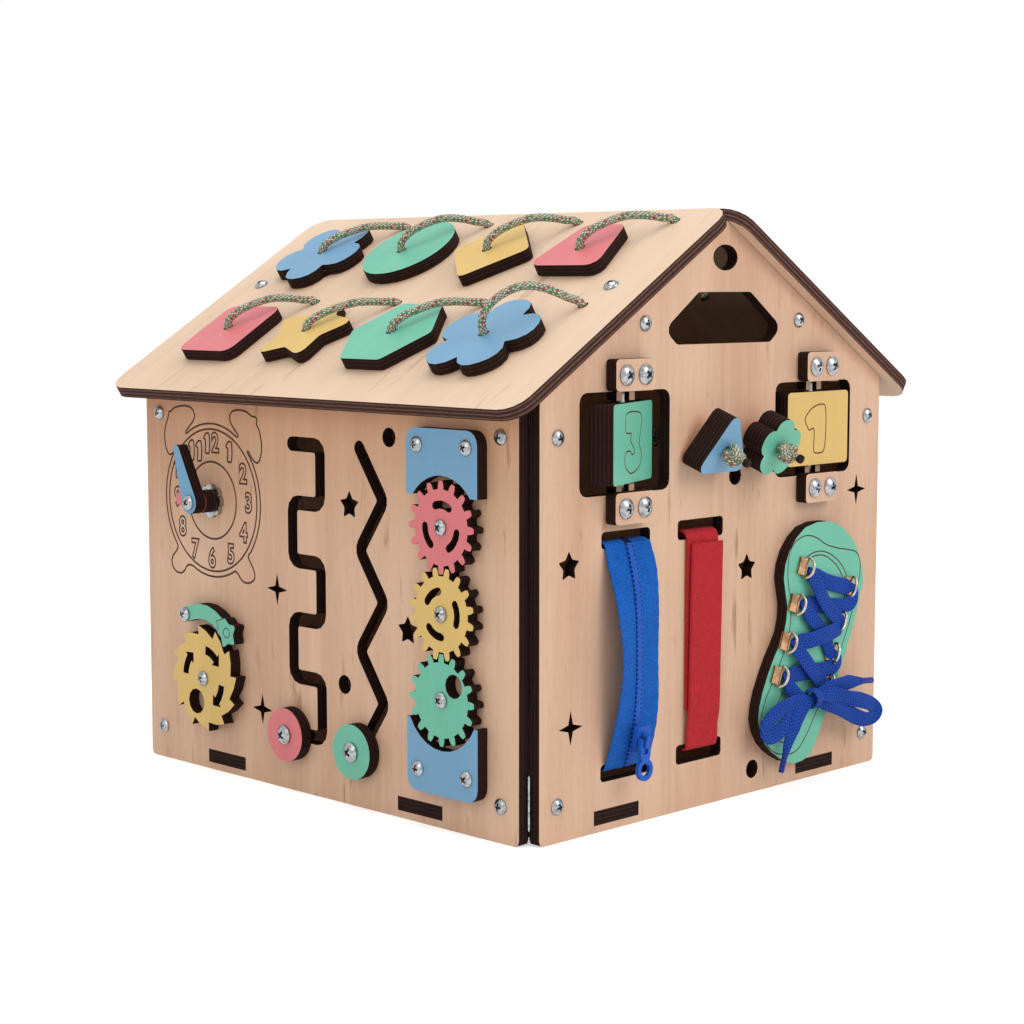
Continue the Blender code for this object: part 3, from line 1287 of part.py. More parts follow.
# Tethered shapes on the roof

def roof_shapes():
    """Name, look, outline and rope arch of each of the eight shapes, ridge row first."""
    wide, narrow, low = TRAPEZOID_FOOT / 2, TRAPEZOID_TOP / 2, TRAPEZOID_HEIGHT / 2
    corners = [(-wide, -low), (wide, -low), (narrow, low), (-narrow, low)]
    across, up = TRAPEZOID_CENTRE
    trapezoid = [(u + across, v + up) for u, v in corners]
    square = rectangle(SQUARE_CENTRE, SQUARE_WIDTH, SQUARE_WIDTH)
    tips = star_corners((0, 0), STAR_SHAPE_RADIUS, STAR_SHAPE_WAIST_SHARE)
    diamond = circle(DIAMOND_CENTRE, DIAMOND_RADIUS, 4)
    hexagon = circle((0, 0), HEXAGON_RADIUS, 6)
    return (
        ("cloud", "blue", flower((0, 0), CLOUD_RADIUS, CLOUD_DIP, 5, math.radians(64)), CLOUD_ARCH),
        ("circle", "mint", circle(CIRCLE_CENTRE, CIRCLE_RADIUS, 32), CIRCLE_ARCH),
        ("diamond", "yellow", rounded(diamond, SHAPE_TIGHT_CORNER), DIAMOND_ARCH),
        ("trapezoid", "coral", rounded(trapezoid, SHAPE_WIDE_CORNER), TRAPEZOID_ARCH),
        ("square", "coral", rounded(square, SHAPE_WIDE_CORNER), SQUARE_ARCH),
        ("star", "yellow", rounded(tips, SHAPE_TIGHT_CORNER), STAR_SHAPE_ARCH),
        ("hexagon", "mint", rounded(hexagon, SHAPE_TIGHT_CORNER), HEXAGON_ARCH),
        ("blossom", "blue", flower((0, 0), BLOSSOM_RADIUS, BLOSSOM_DIP, 5, math.radians(18)), BLOSSOM_ARCH),
    )


def shape_place(index):
    """Where a shape's middle lies on the roof: u, and v down the slope from the ridge."""
    row, column = divmod(index, 4)
    return SHAPE_FIRST_U + column * SHAPE_PITCH, -(SHAPE_LOWER_DOWN if row else SHAPE_UPPER_DOWN)


def roof_holes():
    """For each shape, the hole that its plug stands in and the hole of its rope."""
    holes = []
    for index, (_, _, outline, _) in enumerate(roof_shapes()):
        u, v = shape_place(index)
        seat = grown(outline[::2], PLUG_CLEARANCE - PLUG_INSET)
        holes.append([(u + across, v + up) for across, up in seat])
        holes.append(rope_hole(u + SHAPE_PITCH / 2, v + ANCHOR_RISE))
    return holes


def make_roof_shapes():
    """Each shape has a plug under it that stands in the roof, and a rope to its own hole."""
    out, into = Vector((0, 0, 1)), Vector((0, 0, -1))
    anchor = Vector((SHAPE_PITCH / 2, ANCHOR_RISE, 0))
    for index, (name, look, outline, arch) in enumerate(roof_shapes()):
        place = turned(LEFT_ROOF, *shape_place(index), 0)
        shape = plate(f"{name}_shape", look, [outline], place @ Matrix.Translation(out * TOUCH_GAP))
        plug = plate_mesh([grown(outline[::2], -PLUG_INSET)], PLUG_DEPTH + PLY / 2)
        foot = Matrix.Translation(into * (PLUG_DEPTH + TOUCH_GAP))
        combine(shape, plug, foot, "UNION")
        bore = plate_mesh([rope_hole(0, 0)], PLUG_DEPTH + 2 * PLY)
        combine(shape, bore, foot @ Matrix.Translation(into * (PLY * PLUG_BORE_SHARE)), "DIFFERENCE")
        under = into * (PLUG_DEPTH + RUNNING_GAP)
        leave, enter = out * (PLY + TOUCH_GAP), anchor + out * TOUCH_GAP
        rise = arch - (leave.z + enter.z) / 2
        curve = []
        for i in range(ROPE_ARCH_STEPS + 1):
            turn = math.pi * i / ROPE_ARCH_STEPS
            along = (1 - math.cos(turn)) / 2
            curve.append((leave.lerp(enter, along) + out * (rise * math.sin(turn)), 1))
        inner = anchor + into * (PLY + SHAPE_PULL + RUNNING_GAP)
        stations = [*reversed(knot_and_tail(under, into)), *curve, *knot_and_tail(inner, into)]
        rope(f"{name}_rope", stations, place)


def make_shell():
    """The floor, the walls, the gables and the two roof panels."""
    left_holes = [
        bolt_hole(CLOCK_U, CLOCK_V),
        bolt_hole(RATCHET_U, RATCHET_V),
        bolt_hole(PAWL_PIVOT_U, PAWL_PIVOT_V),
        *[bolt_hole(GEAR_U, TOP_GEAR_V - i * GEAR_CENTRES) for i in range(3)],
        band(meander_corners(), TRACK_WIDTH, TRACK_BEND),
        band(zigzag_corners(), TRACK_WIDTH, TRACK_BEND),
        *[circle(centre, PEEP_RADIUS) for centre in LEFT_PEEPS],
        *[star(centre) for centre in LEFT_STARS],
        *[sparkle(centre) for centre in LEFT_SPARKLES],
    ]
    right_holes = [
        *[circle(centre, PEEP_RADIUS) for centre in RIGHT_PEEPS],
        *[star(centre) for centre in RIGHT_STARS],
        *[sparkle(centre) for centre in RIGHT_SPARKLES],
    ]
    floor_panel()
    side_wall("left_wall", LEFT, left_holes)
    side_wall("right_wall", RIGHT, right_holes)
    front_gable()
    rear_gable()
    roof_panel("left_roof", LEFT_ROOF, roof_holes())
    roof_panel("right_roof", RIGHT_ROOF, [])


def make_house():
    """Builds the shell and then the toys on it."""
    make_shell()
    make_clock()
    make_ratchet()
    make_track_discs()
    make_gears()
    make_guards()
    make_number_blocks()
    make_knobs()
    make_zipper()
    make_straps()
    make_shoe()
    make_roof_shapes()


for old in list(bpy.data.objects):
    bpy.data.objects.remove(old)
house = collection_named("activity_house")
cutters = collection_named("cutters")
house_origin = bpy.data.objects.new("house_origin", None)
house_origin.location.y = HOUSE_SET_BACK
house.objects.link(house_origin)
looks = make_looks()
make_house()
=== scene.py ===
# %% [markdown]
# # An activity house of laser-cut plywood
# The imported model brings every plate, gear and knob of the toy at its true size and place.
# This file gives those pieces their wood, paint and steel, and adds what the plates carry:
# screws, engraved lines, ropes, a zipper, tapes and a laced shoe.
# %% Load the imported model
import json
import math
import random

import bmesh
import bpy
from mathutils import Matrix, Vector, noise


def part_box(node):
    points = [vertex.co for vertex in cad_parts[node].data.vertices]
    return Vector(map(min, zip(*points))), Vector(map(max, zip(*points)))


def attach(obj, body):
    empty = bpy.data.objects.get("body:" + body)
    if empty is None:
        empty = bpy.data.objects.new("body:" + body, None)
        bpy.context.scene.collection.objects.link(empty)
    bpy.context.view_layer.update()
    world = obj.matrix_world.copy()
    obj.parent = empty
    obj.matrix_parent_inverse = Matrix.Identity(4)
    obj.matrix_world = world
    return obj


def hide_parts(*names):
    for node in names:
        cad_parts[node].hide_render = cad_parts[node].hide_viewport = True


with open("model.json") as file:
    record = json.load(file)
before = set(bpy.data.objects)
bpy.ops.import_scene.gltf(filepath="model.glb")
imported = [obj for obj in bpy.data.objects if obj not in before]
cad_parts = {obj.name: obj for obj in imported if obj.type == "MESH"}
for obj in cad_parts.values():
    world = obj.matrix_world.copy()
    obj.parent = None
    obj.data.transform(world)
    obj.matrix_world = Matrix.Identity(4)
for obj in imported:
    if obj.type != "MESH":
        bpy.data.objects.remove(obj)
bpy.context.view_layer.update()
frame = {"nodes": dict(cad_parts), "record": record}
NODES = frame["nodes"]
BODIES = frame["record"]["behaviour"]["bodies"]
print("packed pieces:", len(NODES), "bodies:", len(BODIES))

# %% [markdown]
# ## Each wall's own axes
# On a real house every hole and screw is measured on its own board. A board gets a frame here
# with u to the right, v up and w straight out, so a place on it is three short lengths.
# %% Frames of the boards
MM = 0.001
PLY = 6.5 * MM
SET_BACK = 8 * MM
WALL_OUT = 141.5 * MM
GABLE_OUT = 154.2 * MM
PITCH = math.radians(31.7)
RIDGE_TOP = (3.416 * MM, 305.22 * MM)


def board(origin, right, up):
    """A board's axes as a matrix: u, v and w are its columns."""
    right, up = Vector(right), Vector(up)
    axes = Matrix((right, up, right.cross(up))).transposed().to_4x4()
    return Matrix.Translation(origin) @ axes


def at(place, u, v, w=0.0, turn=0.0):
    """A place on a board, in millimetres, turned about the board's outward axis."""
    return place @ Matrix.Translation((u * MM, v * MM, w * MM)) @ Matrix.Rotation(turn, 4, "Z")


LEFT = board((-WALL_OUT, SET_BACK, 0), (0, -1, 0), (0, 0, 1))
RIGHT = board((WALL_OUT, SET_BACK, 0), (0, 1, 0), (0, 0, 1))
FRONT = board((0, SET_BACK - GABLE_OUT, 0), (1, 0, 0), (0, 0, 1))
REAR = board((0, SET_BACK + GABLE_OUT, 0), (-1, 0, 0), (0, 0, 1))
SLOPE = (math.cos(PITCH), 0, math.sin(PITCH))
LEFT_ROOF = board((-RIDGE_TOP[0], SET_BACK, RIDGE_TOP[1]), (0, -1, 0), SLOPE)
RIGHT_ROOF = board((RIDGE_TOP[0], SET_BACK, RIDGE_TOP[1]), (0, 1, 0), (-SLOPE[0], 0, SLOPE[2]))
print("left roof faces", [round(x, 3) for x in LEFT_ROOF.col[2][:3]])

# %% [markdown]
# ## The camera
# The picture was taken from a little above the eaves with a long lens, turned to the corner
# between the gear wall and the gable. A camera needs a place, a direction and a focal length.
# %% Camera
CAMERA_PLACE = (-0.8549, -0.8471, 0.2682)
CAMERA_HEADING = math.radians(44.956)
CAMERA_DIP = math.radians(6.092)
LENS = 75.92

camera = bpy.data.objects.new("camera", bpy.data.cameras.new("camera"))
bpy.context.collection.objects.link(camera)
camera.location = CAMERA_PLACE
camera.rotation_euler = (math.pi / 2 - CAMERA_DIP, 0, CAMERA_HEADING - math.pi / 2)
camera.data.lens = LENS
camera.data.clip_end = 50
bpy.context.scene.camera = camera
print("camera", CAMERA_PLACE, "lens", LENS)

# %% [markdown]
# ## Small helpers for node trees
# A material is a tree of nodes. Written by hand each node takes several lines, so one helper
# adds a node, sets its options and connects or fills its inputs.
# %% Node helpers
def add_node(tree, kind, inputs=None, **options):
    """A node with its options set; an input is a socket to link or a value to keep."""
    node = tree.nodes.new(kind)
    for name, value in options.items():
        setattr(node, name, value)
    for key, value in (inputs or {}).items():
        if isinstance(value, bpy.types.NodeSocket):
            tree.links.new(value, node.inputs[key])
        else:
            node.inputs[key].default_value = value
    return node


def calc(tree, operation, *values, clamp=False):
    """One Math node, and its result."""
    inputs = dict(enumerate(values))
    return add_node(tree, "ShaderNodeMath", inputs, operation=operation, use_clamp=clamp).outputs[0]


def ramp_between(tree, value, low, high):
    """0 below low, 1 above high, smooth between."""
    inputs = {"Value": value, "From Min": low, "From Max": high}
    return add_node(tree, "ShaderNodeMapRange", inputs, interpolation_type="SMOOTHSTEP").outputs[0]


def mix_colour(tree, factor, first, second, blend="MIX"):
    """Two colours mixed by a factor."""
    node = add_node(tree, "ShaderNodeMix", data_type="RGBA", blend_type=blend)
    for key, value in ((0, factor), (6, first), (7, second)):
        if isinstance(value, bpy.types.NodeSocket):
            tree.links.new(value, node.inputs[key])
        else:
            node.inputs[key].default_value = value
    return node.outputs[2]


def stretched_noise(tree, vector, scale, detail=4.0, distortion=0.0, roughness=0.55):
    """Noise that is drawn out along one axis of the vector."""
    spread = add_node(tree, "ShaderNodeMapping", {"Vector": vector, "Scale": scale})
    inputs = {
        "Vector": spread.outputs[0], "Scale": 1.0, "Detail": detail,
        "Distortion": distortion, "Roughness": roughness,
    }
    return add_node(tree, "ShaderNodeTexNoise", inputs).outputs[0]


def new_group(name, inputs, outputs):
    """An empty shader group with named sockets: the tree, its input node and its output node."""
    tree = bpy.data.node_groups.new(name, "ShaderNodeTree")
    for label, kind in inputs:
        tree.interface.new_socket(label, in_out="INPUT", socket_type=f"NodeSocket{kind}")
    for label, kind in outputs:
        tree.interface.new_socket(label, in_out="OUTPUT", socket_type=f"NodeSocket{kind}")
    return tree, tree.nodes.new("NodeGroupInput"), tree.nodes.new("NodeGroupOutput")


def use_group(tree, group, inputs):
    """A group placed in a material, with that material's own values."""
    node = add_node(tree, "ShaderNodeGroup", node_tree=group)
    for key, value in inputs.items():
        if isinstance(value, bpy.types.NodeSocket):
            tree.links.new(value, node.inputs[key])
        else:
            node.inputs[key].default_value = value
    return node


def new_material(name):
    """A material with one Principled shader: its tree and that shader."""
    material = bpy.data.materials.new(name)
    material.use_nodes = True
    tree = material.node_tree
    return material, tree, tree.nodes["Principled BSDF"]


def bump(tree, height, strength, distance):
    """A Bump node's normal from a height."""
    inputs = {"Height": height, "Strength": strength, "Distance": distance}
    return add_node(tree, "ShaderNodeBump", inputs).outputs[0]


def rgb(red, green, blue):
    """A colour given as on a screen, 0 to 255, turned into the linear values a shader needs."""
    def linear(value):
        share = value / 255
        return share / 12.92 if share <= 0.04045 else ((share + 0.055) / 1.055) ** 2.4
    return (linear(red), linear(green), linear(blue), 1.0)


print("birch in linear light:", [round(x, 3) for x in rgb(222, 190, 155)])

# %% [markdown]
# ## Floor, backdrop and lamps
# The toy stands in a white studio. The floor is pale and a little brighter to the camera than
# its own reflection, so it fades into white and still keeps the shadow under the house. Large
# square lamps stand in for the soft boxes: one high beside the gable, one weaker at the left.
# %% Studio
FLOOR_HALF = 6.0


def white_for_camera(tree, surface_shader, strength, output):
    """Mix a plain white glow over a shader, for camera and mirror rays alone."""
    path = add_node(tree, "ShaderNodeLightPath")
    seen = calc(tree, "ADD", path.outputs["Is Camera Ray"], path.outputs["Is Glossy Ray"], clamp=True)
    seen = calc(tree, "ADD", seen, path.outputs["Is Transmission Ray"], clamp=True)
    glow = add_node(tree, "ShaderNodeEmission", {"Color": (1, 1, 1, 1), "Strength": strength})
    both = add_node(tree, "ShaderNodeAddShader", {0: surface_shader, 1: glow.outputs[0]})
    chosen = add_node(tree, "ShaderNodeMixShader", {0: seen, 1: surface_shader, 2: both.outputs[0]})
    tree.links.new(chosen.outputs[0], output)


bpy.ops.mesh.primitive_plane_add(size=2 * FLOOR_HALF)
floor = bpy.context.object
floor.name = "studio_floor"
floor_look, tree, shader = new_material("pale_floor")
shader.inputs["Base Color"].default_value = (0.80, 0.80, 0.80, 1)
shader.inputs["Roughness"].default_value = 0.9
shader.inputs["Specular IOR Level"].default_value = 0.1
white_for_camera(tree, shader.outputs[0], 0.50, tree.nodes["Material Output"].inputs["Surface"])
floor.data.materials.append(floor_look)

world = bpy.data.worlds.new("studio")
world.use_nodes = True
bpy.context.scene.world = world
tree = world.node_tree
path = add_node(tree, "ShaderNodeLightPath")
seen = calc(tree, "ADD", path.outputs["Is Camera Ray"], path.outputs["Is Glossy Ray"], clamp=True)
seen = calc(tree, "ADD", seen, path.outputs["Is Transmission Ray"], clamp=True)
strength = add_node(tree, "ShaderNodeMapRange", {"Value": seen, "To Min": 0.60, "To Max": 1.0})
tree.links.new(strength.outputs[0], tree.nodes["Background"].inputs["Strength"])
tree.nodes["Background"].inputs["Color"].default_value = (1, 1, 1, 1)


def soft_box(name, place, target, size, power):
    """A square lamp that looks at a point."""
    data = bpy.data.lights.new(name, "AREA")
    data.size = size
    data.energy = power
    lamp = bpy.data.objects.new(name, data)
    bpy.context.collection.objects.link(lamp)
    lamp.location = place
    lamp.rotation_euler = (Vector(place) - Vector(target)).to_track_quat("Z", "Y").to_euler()
    return lamp


soft_box("key_lamp", (0.5, -2.0, 1.5), (0, 0, 0.12), 1.4, 20)
soft_box("left_lamp", (-1.9, -0.5, 1.2), (0, 0, 0.12), 1.2, 5.6)
soft_box("top_lamp", (-0.3, 0.1, 2.2), (0, 0, 0.2), 1.6, 17)
bpy.context.scene.view_settings.view_transform = "Standard"

# %% [markdown]
# ## Birch veneer
# Every board is birch plywood. Its face shows soft streaks that run up the board, a broad
# change of tone, short fine pores and, here and there, a reddish fleck. Each of these is a noise
# stretched along the grain. They are one group, so that bare and painted wood share it.
# %% Group: veneer grain
GRAIN, group_in, group_out = new_group(
    "veneer_grain", [("Vector", "Vector")],
    [("Tone", "Float"), ("Fleck", "Float"), ("Height", "Float")],
)
place = group_in.outputs["Vector"]
figure = stretched_noise(GRAIN, place, (26, 26, 2.4), 5, 0.9)
streaks = stretched_noise(GRAIN, place, (190, 190, 5), 4, 0.3)
fine = stretched_noise(GRAIN, place, (900, 900, 26), 3)
pores = ramp_between(GRAIN, stretched_noise(GRAIN, place, (1500, 1500, 130), 2), 0.60, 0.72)
broad = stretched_noise(GRAIN, place, (7, 7, 3), 2, 0.4)
tone = calc(GRAIN, "MULTIPLY", figure, 0.40)
tone = calc(GRAIN, "MULTIPLY_ADD", streaks, 0.13, tone)
tone = calc(GRAIN, "MULTIPLY_ADD", broad, 0.34, tone)
tone = calc(GRAIN, "MULTIPLY_ADD", fine, 0.10, tone)
tone = calc(GRAIN, "MULTIPLY_ADD", pores, 0.10, tone)
GRAIN.links.new(ramp_between(GRAIN, tone, 0.34, 0.68), group_out.inputs["Tone"])
spots = stretched_noise(GRAIN, place, (150, 150, 22), 3, 0.6)
rare = stretched_noise(GRAIN, place, (17, 17, 9), 1)
fleck = calc(GRAIN, "MULTIPLY", ramp_between(GRAIN, spots, 0.60, 0.74), ramp_between(GRAIN, rare, 0.45, 0.60))
GRAIN.links.new(fleck, group_out.inputs["Fleck"])
height = calc(GRAIN, "SUBTRACT", calc(GRAIN, "MULTIPLY", streaks, 0.5), calc(GRAIN, "MULTIPLY", pores, 0.6))
GRAIN.links.new(height, group_out.inputs["Height"])
print("veneer group nodes:", len(GRAIN.nodes))

# %% [markdown]
# ## Laser-cut edges
# The laser that cuts plywood burns the edge to a dark brown, with the layers still showing as
# paler lines. A face or an edge is told apart by its direction: the group compares the
# surface's normal with the board's own outward direction.
# %% Group: laser-cut edge
EDGE, group_in, group_out = new_group(
    "laser_edge",
    [("Normal", "Vector"), ("Position", "Vector"), ("Out", "Vector"), ("Layers", "Float"), ("Start", "Float")],
    [("Face", "Float"), ("Outside", "Float"), ("Layer", "Float"), ("Soot", "Float")],
)
facing = add_node(
    EDGE, "ShaderNodeVectorMath", {0: group_in.outputs["Normal"], 1: group_in.outputs["Out"]},
    operation="DOT_PRODUCT",
).outputs["Value"]
depth = add_node(
    EDGE, "ShaderNodeVectorMath", {0: group_in.outputs["Position"], 1: group_in.outputs["Out"]},
    operation="DOT_PRODUCT",
).outputs["Value"]
face = ramp_between(EDGE, calc(EDGE, "ABSOLUTE", facing), 0.62, 0.80)
EDGE.links.new(face, group_out.inputs["Face"])
EDGE.links.new(ramp_between(EDGE, facing, 0.62, 0.80), group_out.inputs["Outside"])
wander = stretched_noise(EDGE, group_in.outputs["Position"], (60, 60, 60), 2)
depth = calc(EDGE, "SUBTRACT", depth, group_in.outputs["Start"])
depth = calc(EDGE, "MULTIPLY", depth, group_in.outputs["Layers"])
depth = calc(EDGE, "MULTIPLY_ADD", wander, 0.35, depth)
wave = calc(EDGE, "SINE", calc(EDGE, "MULTIPLY", depth, 2 * math.pi))
EDGE.links.new(ramp_between(EDGE, wave, -0.1, 0.9), group_out.inputs["Layer"])
soot = stretched_noise(EDGE, group_in.outputs["Position"], (300, 300, 300), 4)
EDGE.links.new(ramp_between(EDGE, soot, 0.35, 0.70), group_out.inputs["Soot"])
print("edge group nodes:", len(EDGE.nodes))

# %% [markdown]
# ## Plywood, bare and painted
# One recipe makes every wooden finish: veneer on both faces, a burnt edge between them, and
# satin paint on the outside face of the coloured pieces. Paint is smoother than veneer, yet a
# little of the grain still shows through, as it does with two thin coats.
# %% Plywood materials
WALL_SHEET = (rgb(226, 188, 158), rgb(200, 157, 128))
# The roof's veneer is paler than the walls': painted light from the lamps above and their sheen on the slopes.
ROOF_SHEET_PAINTED_LIGHT = (rgb(231, 202, 174), rgb(215, 182, 152))
BIRCH_FLECK = rgb(150, 98, 70)
# The colour that the wood under the eaves is multiplied by: painted shade of the roof's overhang.
EAVES_PAINTED_SHADE = (0.82, 0.68, 0.54, 1)
BURNT = (rgb(34, 21, 17), rgb(56, 36, 30))
# The roof's burnt edges are paler too: a lit copy of the burnt edge, painted light.
ROOF_BURNT_PAINTED_LIGHT = (rgb(62, 41, 35), rgb(114, 82, 72))
PAINTS = {
    "blue": rgb(112, 162, 196),
    "mint": rgb(106, 190, 162),
    "yellow": rgb(224, 187, 106),
    "coral": rgb(222, 118, 122),
}
LEFT_OUT, FRONT_OUT = (-1, 0, 0), (0, -1, 0)
made_plywood = {}


def plywood(name, out, grain, paint=None, coat_start=0.0, sheet=WALL_SHEET):
    """Birch plywood whose outward direction is out; grain turns the pattern, as an Euler."""
    material, tree, shader = new_material(name)
    coordinates = add_node(tree, "ShaderNodeTexCoord")
    position = coordinates.outputs["Object"]
    turned = add_node(tree, "ShaderNodeMapping", {"Vector": position, "Rotation": grain}).outputs[0]
    veneer = use_group(tree, GRAIN, {"Vector": turned})
    edge = use_group(tree, EDGE, {
        "Normal": coordinates.outputs["Normal"], "Position": position, "Out": out,
        "Layers": 3 / PLY, "Start": coat_start,
    })
    wood = mix_colour(tree, veneer.outputs["Tone"], *sheet)
    fleck = calc(tree, "MULTIPLY", veneer.outputs["Fleck"], 0.35 if sheet is ROOF_SHEET_PAINTED_LIGHT else 0.70)
    wood = mix_colour(tree, fleck, wood, BIRCH_FLECK)
    # Painted shade under the eaves: on boards facing out to the left the wood is darkened and warmed from 0.10 m to
    # 0.23 m up.
    if sheet is WALL_SHEET and out == LEFT_OUT:
        height = add_node(tree, "ShaderNodeSeparateXYZ", {0: position}).outputs["Z"]
        wood = mix_colour(tree, ramp_between(tree, height, 0.10, 0.23), wood, EAVES_PAINTED_SHADE, "MULTIPLY")
    face_roughness = calc(tree, "MULTIPLY_ADD", veneer.outputs["Tone"], 0.12, 0.46)
    relief = 0.25
    if paint:
        colour = PAINTS[paint]
        shade = tuple(0.90 * value for value in colour[:3]) + (1,)
        coat = mix_colour(tree, veneer.outputs["Tone"], colour, shade)
        wood = mix_colour(tree, edge.outputs["Outside"], wood, coat)
        face_roughness = calc(tree, "MULTIPLY_ADD", veneer.outputs["Tone"], 0.08, 0.40)
        relief = 0.12
    # Roof boards take the paler, lit burnt edge: painted light.
    char, layer = ROOF_BURNT_PAINTED_LIGHT if sheet is ROOF_SHEET_PAINTED_LIGHT else BURNT
    burnt = mix_colour(tree, edge.outputs["Layer"], char, layer)
    burnt = mix_colour(tree, calc(tree, "MULTIPLY", edge.outputs["Soot"], 0.45), burnt, char)
    colour = mix_colour(tree, edge.outputs["Face"], burnt, wood)
    tree.links.new(colour, shader.inputs["Base Color"])
    roughness = add_node(tree, "ShaderNodeMix", {0: edge.outputs["Face"], 2: 0.82, 3: face_roughness})
    tree.links.new(roughness.outputs[0], shader.inputs["Roughness"])
    gloss = add_node(tree, "ShaderNodeMix", {0: edge.outputs["Face"], 2: 0.10, 3: 0.45})
    tree.links.new(gloss.outputs[0], shader.inputs["Specular IOR Level"])
    height = calc(tree, "MULTIPLY_ADD", edge.outputs["Layer"], 0.3, veneer.outputs["Height"])
    tree.links.new(bump(tree, height, relief, 0.0004), shader.inputs["Normal"])
    return material


def dress(node, material):
    """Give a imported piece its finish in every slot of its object."""
    for slot in NODES[node].material_slots:
        slot.material = material


ROOF_OUT = tuple(LEFT_ROOF.col[2][:3])
RIGHT_ROOF_OUT = tuple(RIGHT_ROOF.col[2][:3])
UPRIGHT = (0, 0, 0)
UP_THE_LEFT_SLOPE = (0, PITCH - math.pi / 2, 0)
UP_THE_RIGHT_SLOPE = (0, math.pi / 2 - PITCH, 0)
for node, out, grain in (
    ("left_wall", LEFT_OUT, UPRIGHT),
    ("right_wall", LEFT_OUT, UPRIGHT),
    ("front_gable", FRONT_OUT, UPRIGHT),
    ("rear_gable", FRONT_OUT, UPRIGHT),
    ("left_roof", ROOF_OUT, UP_THE_LEFT_SLOPE),
    ("right_roof", RIGHT_ROOF_OUT, UP_THE_RIGHT_SLOPE),
    ("floor_panel", (0, 0, 1), (math.pi / 2, 0, 0)),
    ("upper_cap_three", FRONT_OUT, UPRIGHT),
    ("lower_cap_three", FRONT_OUT, UPRIGHT),
    ("upper_cap_one", FRONT_OUT, UPRIGHT),
    ("lower_cap_one", FRONT_OUT, UPRIGHT),
):
    # Roof boards take the paler veneer: painted light from above.
    sheet = ROOF_SHEET_PAINTED_LIGHT if "roof" in node else WALL_SHEET
    dress(node, plywood(f"birch_{node}", out, grain, sheet=sheet))

BLOCK_THREE_OUT = (math.sin(math.radians(21)), -math.cos(math.radians(21)), 0)
KNOB_OUT = (0, -math.cos(math.radians(20)), -math.sin(math.radians(20)))
PAINTED = (
    ("hour_hand", "coral", LEFT_OUT), ("minute_hand", "blue", LEFT_OUT),
    ("ratchet_wheel", "yellow", LEFT_OUT), ("comet_pawl", "mint", LEFT_OUT),
    ("meander_disc", "coral", LEFT_OUT), ("zigzag_disc", "mint", LEFT_OUT),
    ("top_gear", "coral", LEFT_OUT), ("middle_gear", "yellow", LEFT_OUT),
    ("bottom_gear", "mint", LEFT_OUT), ("upper_guard", "blue", LEFT_OUT),
    ("lower_guard", "blue", LEFT_OUT), ("number_block_three", "mint", BLOCK_THREE_OUT),
    ("number_block_one", "yellow", FRONT_OUT), ("shoe_sole", "mint", FRONT_OUT),
    ("triangle_knob", "blue", KNOB_OUT), ("flower_knob", "mint", KNOB_OUT),
    ("cloud_shape", "blue", ROOF_OUT), ("circle_shape", "mint", ROOF_OUT),
    ("diamond_shape", "yellow", ROOF_OUT), ("trapezoid_shape", "coral", ROOF_OUT),
    ("square_shape", "coral", ROOF_OUT), ("star_shape", "yellow", ROOF_OUT),
    ("hexagon_shape", "mint", ROOF_OUT), ("blossom_shape", "blue", ROOF_OUT),
)
for node, paint, out in PAINTED:
    grain = UP_THE_LEFT_SLOPE if out is ROOF_OUT else UPRIGHT
    if (paint, out) not in made_plywood:
        made_plywood[paint, out] = plywood(f"{paint}_{node}", out, grain, paint)
    dress(node, made_plywood[paint, out])
print("painted finishes:", len(made_plywood))

# %% [markdown]
# ## Working by hand in edit mode
# A modeller adds a primitive, enters edit mode, picks faces by eye and pulls them. Here the
# eye is a test on each face's middle and normal. Everything is deselected first, because an
# operator acts on all that is selected.
# %% Helpers for modelling
def alone(piece):
    """Make one object the only selected and active one."""
    bpy.ops.object.select_all(action="DESELECT")
    piece.select_set(True)
    bpy.context.view_layer.objects.active = piece


def pick(piece, test):
    """In edit mode, select only the faces whose middle and normal pass a test."""
    bpy.ops.mesh.select_mode(type="FACE")
    bpy.ops.mesh.select_all(action="DESELECT")
    mesh = bmesh.from_edit_mesh(piece.data)
    for face in mesh.faces:
        face.select_set(bool(test(face.calc_center_median(), face.normal)))
    bmesh.update_edit_mesh(piece.data)


def modifier(piece, kind, **options):
    """Add a modifier and apply it at once."""
    alone(piece)
    added = piece.modifiers.new(kind, kind)
    for name, value in options.items():
        setattr(added, name, value)
    bpy.ops.object.modifier_apply(modifier=added.name)


def joined(name, pieces):
    """Several objects as one mesh."""
    bpy.ops.object.select_all(action="DESELECT")
    for piece in pieces:
        piece.select_set(True)
    bpy.context.view_layer.objects.active = pieces[0]
    if len(pieces) > 1:
        bpy.ops.object.join()
    pieces[0].name = pieces[0].data.name = name
    return pieces[0]


def copy_at(pattern, name, place):
    """A copy with its own mesh, its place in the mesh."""
    mesh = pattern.data.copy()
    mesh.transform(place)
    piece = bpy.data.objects.new(name, mesh)
    mesh.name = name
    bpy.context.collection.objects.link(piece)
    return piece


def body_of(node):
    """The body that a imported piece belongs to."""
    return next(body for body, nodes in BODIES.items() if node in nodes)


def hand_over(piece, body, material=None, smooth_angle=40, nodes=()):
    """Finish a piece: its material, its shading, the body it rides on and what it stands for."""
    if material:
        piece.data.materials.clear()
        piece.data.materials.append(material)
    if smooth_angle:
        alone(piece)
        bpy.ops.object.shade_smooth_by_angle(angle=math.radians(smooth_angle))
    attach(piece, body)
    if nodes:
        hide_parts(*nodes)
    return piece


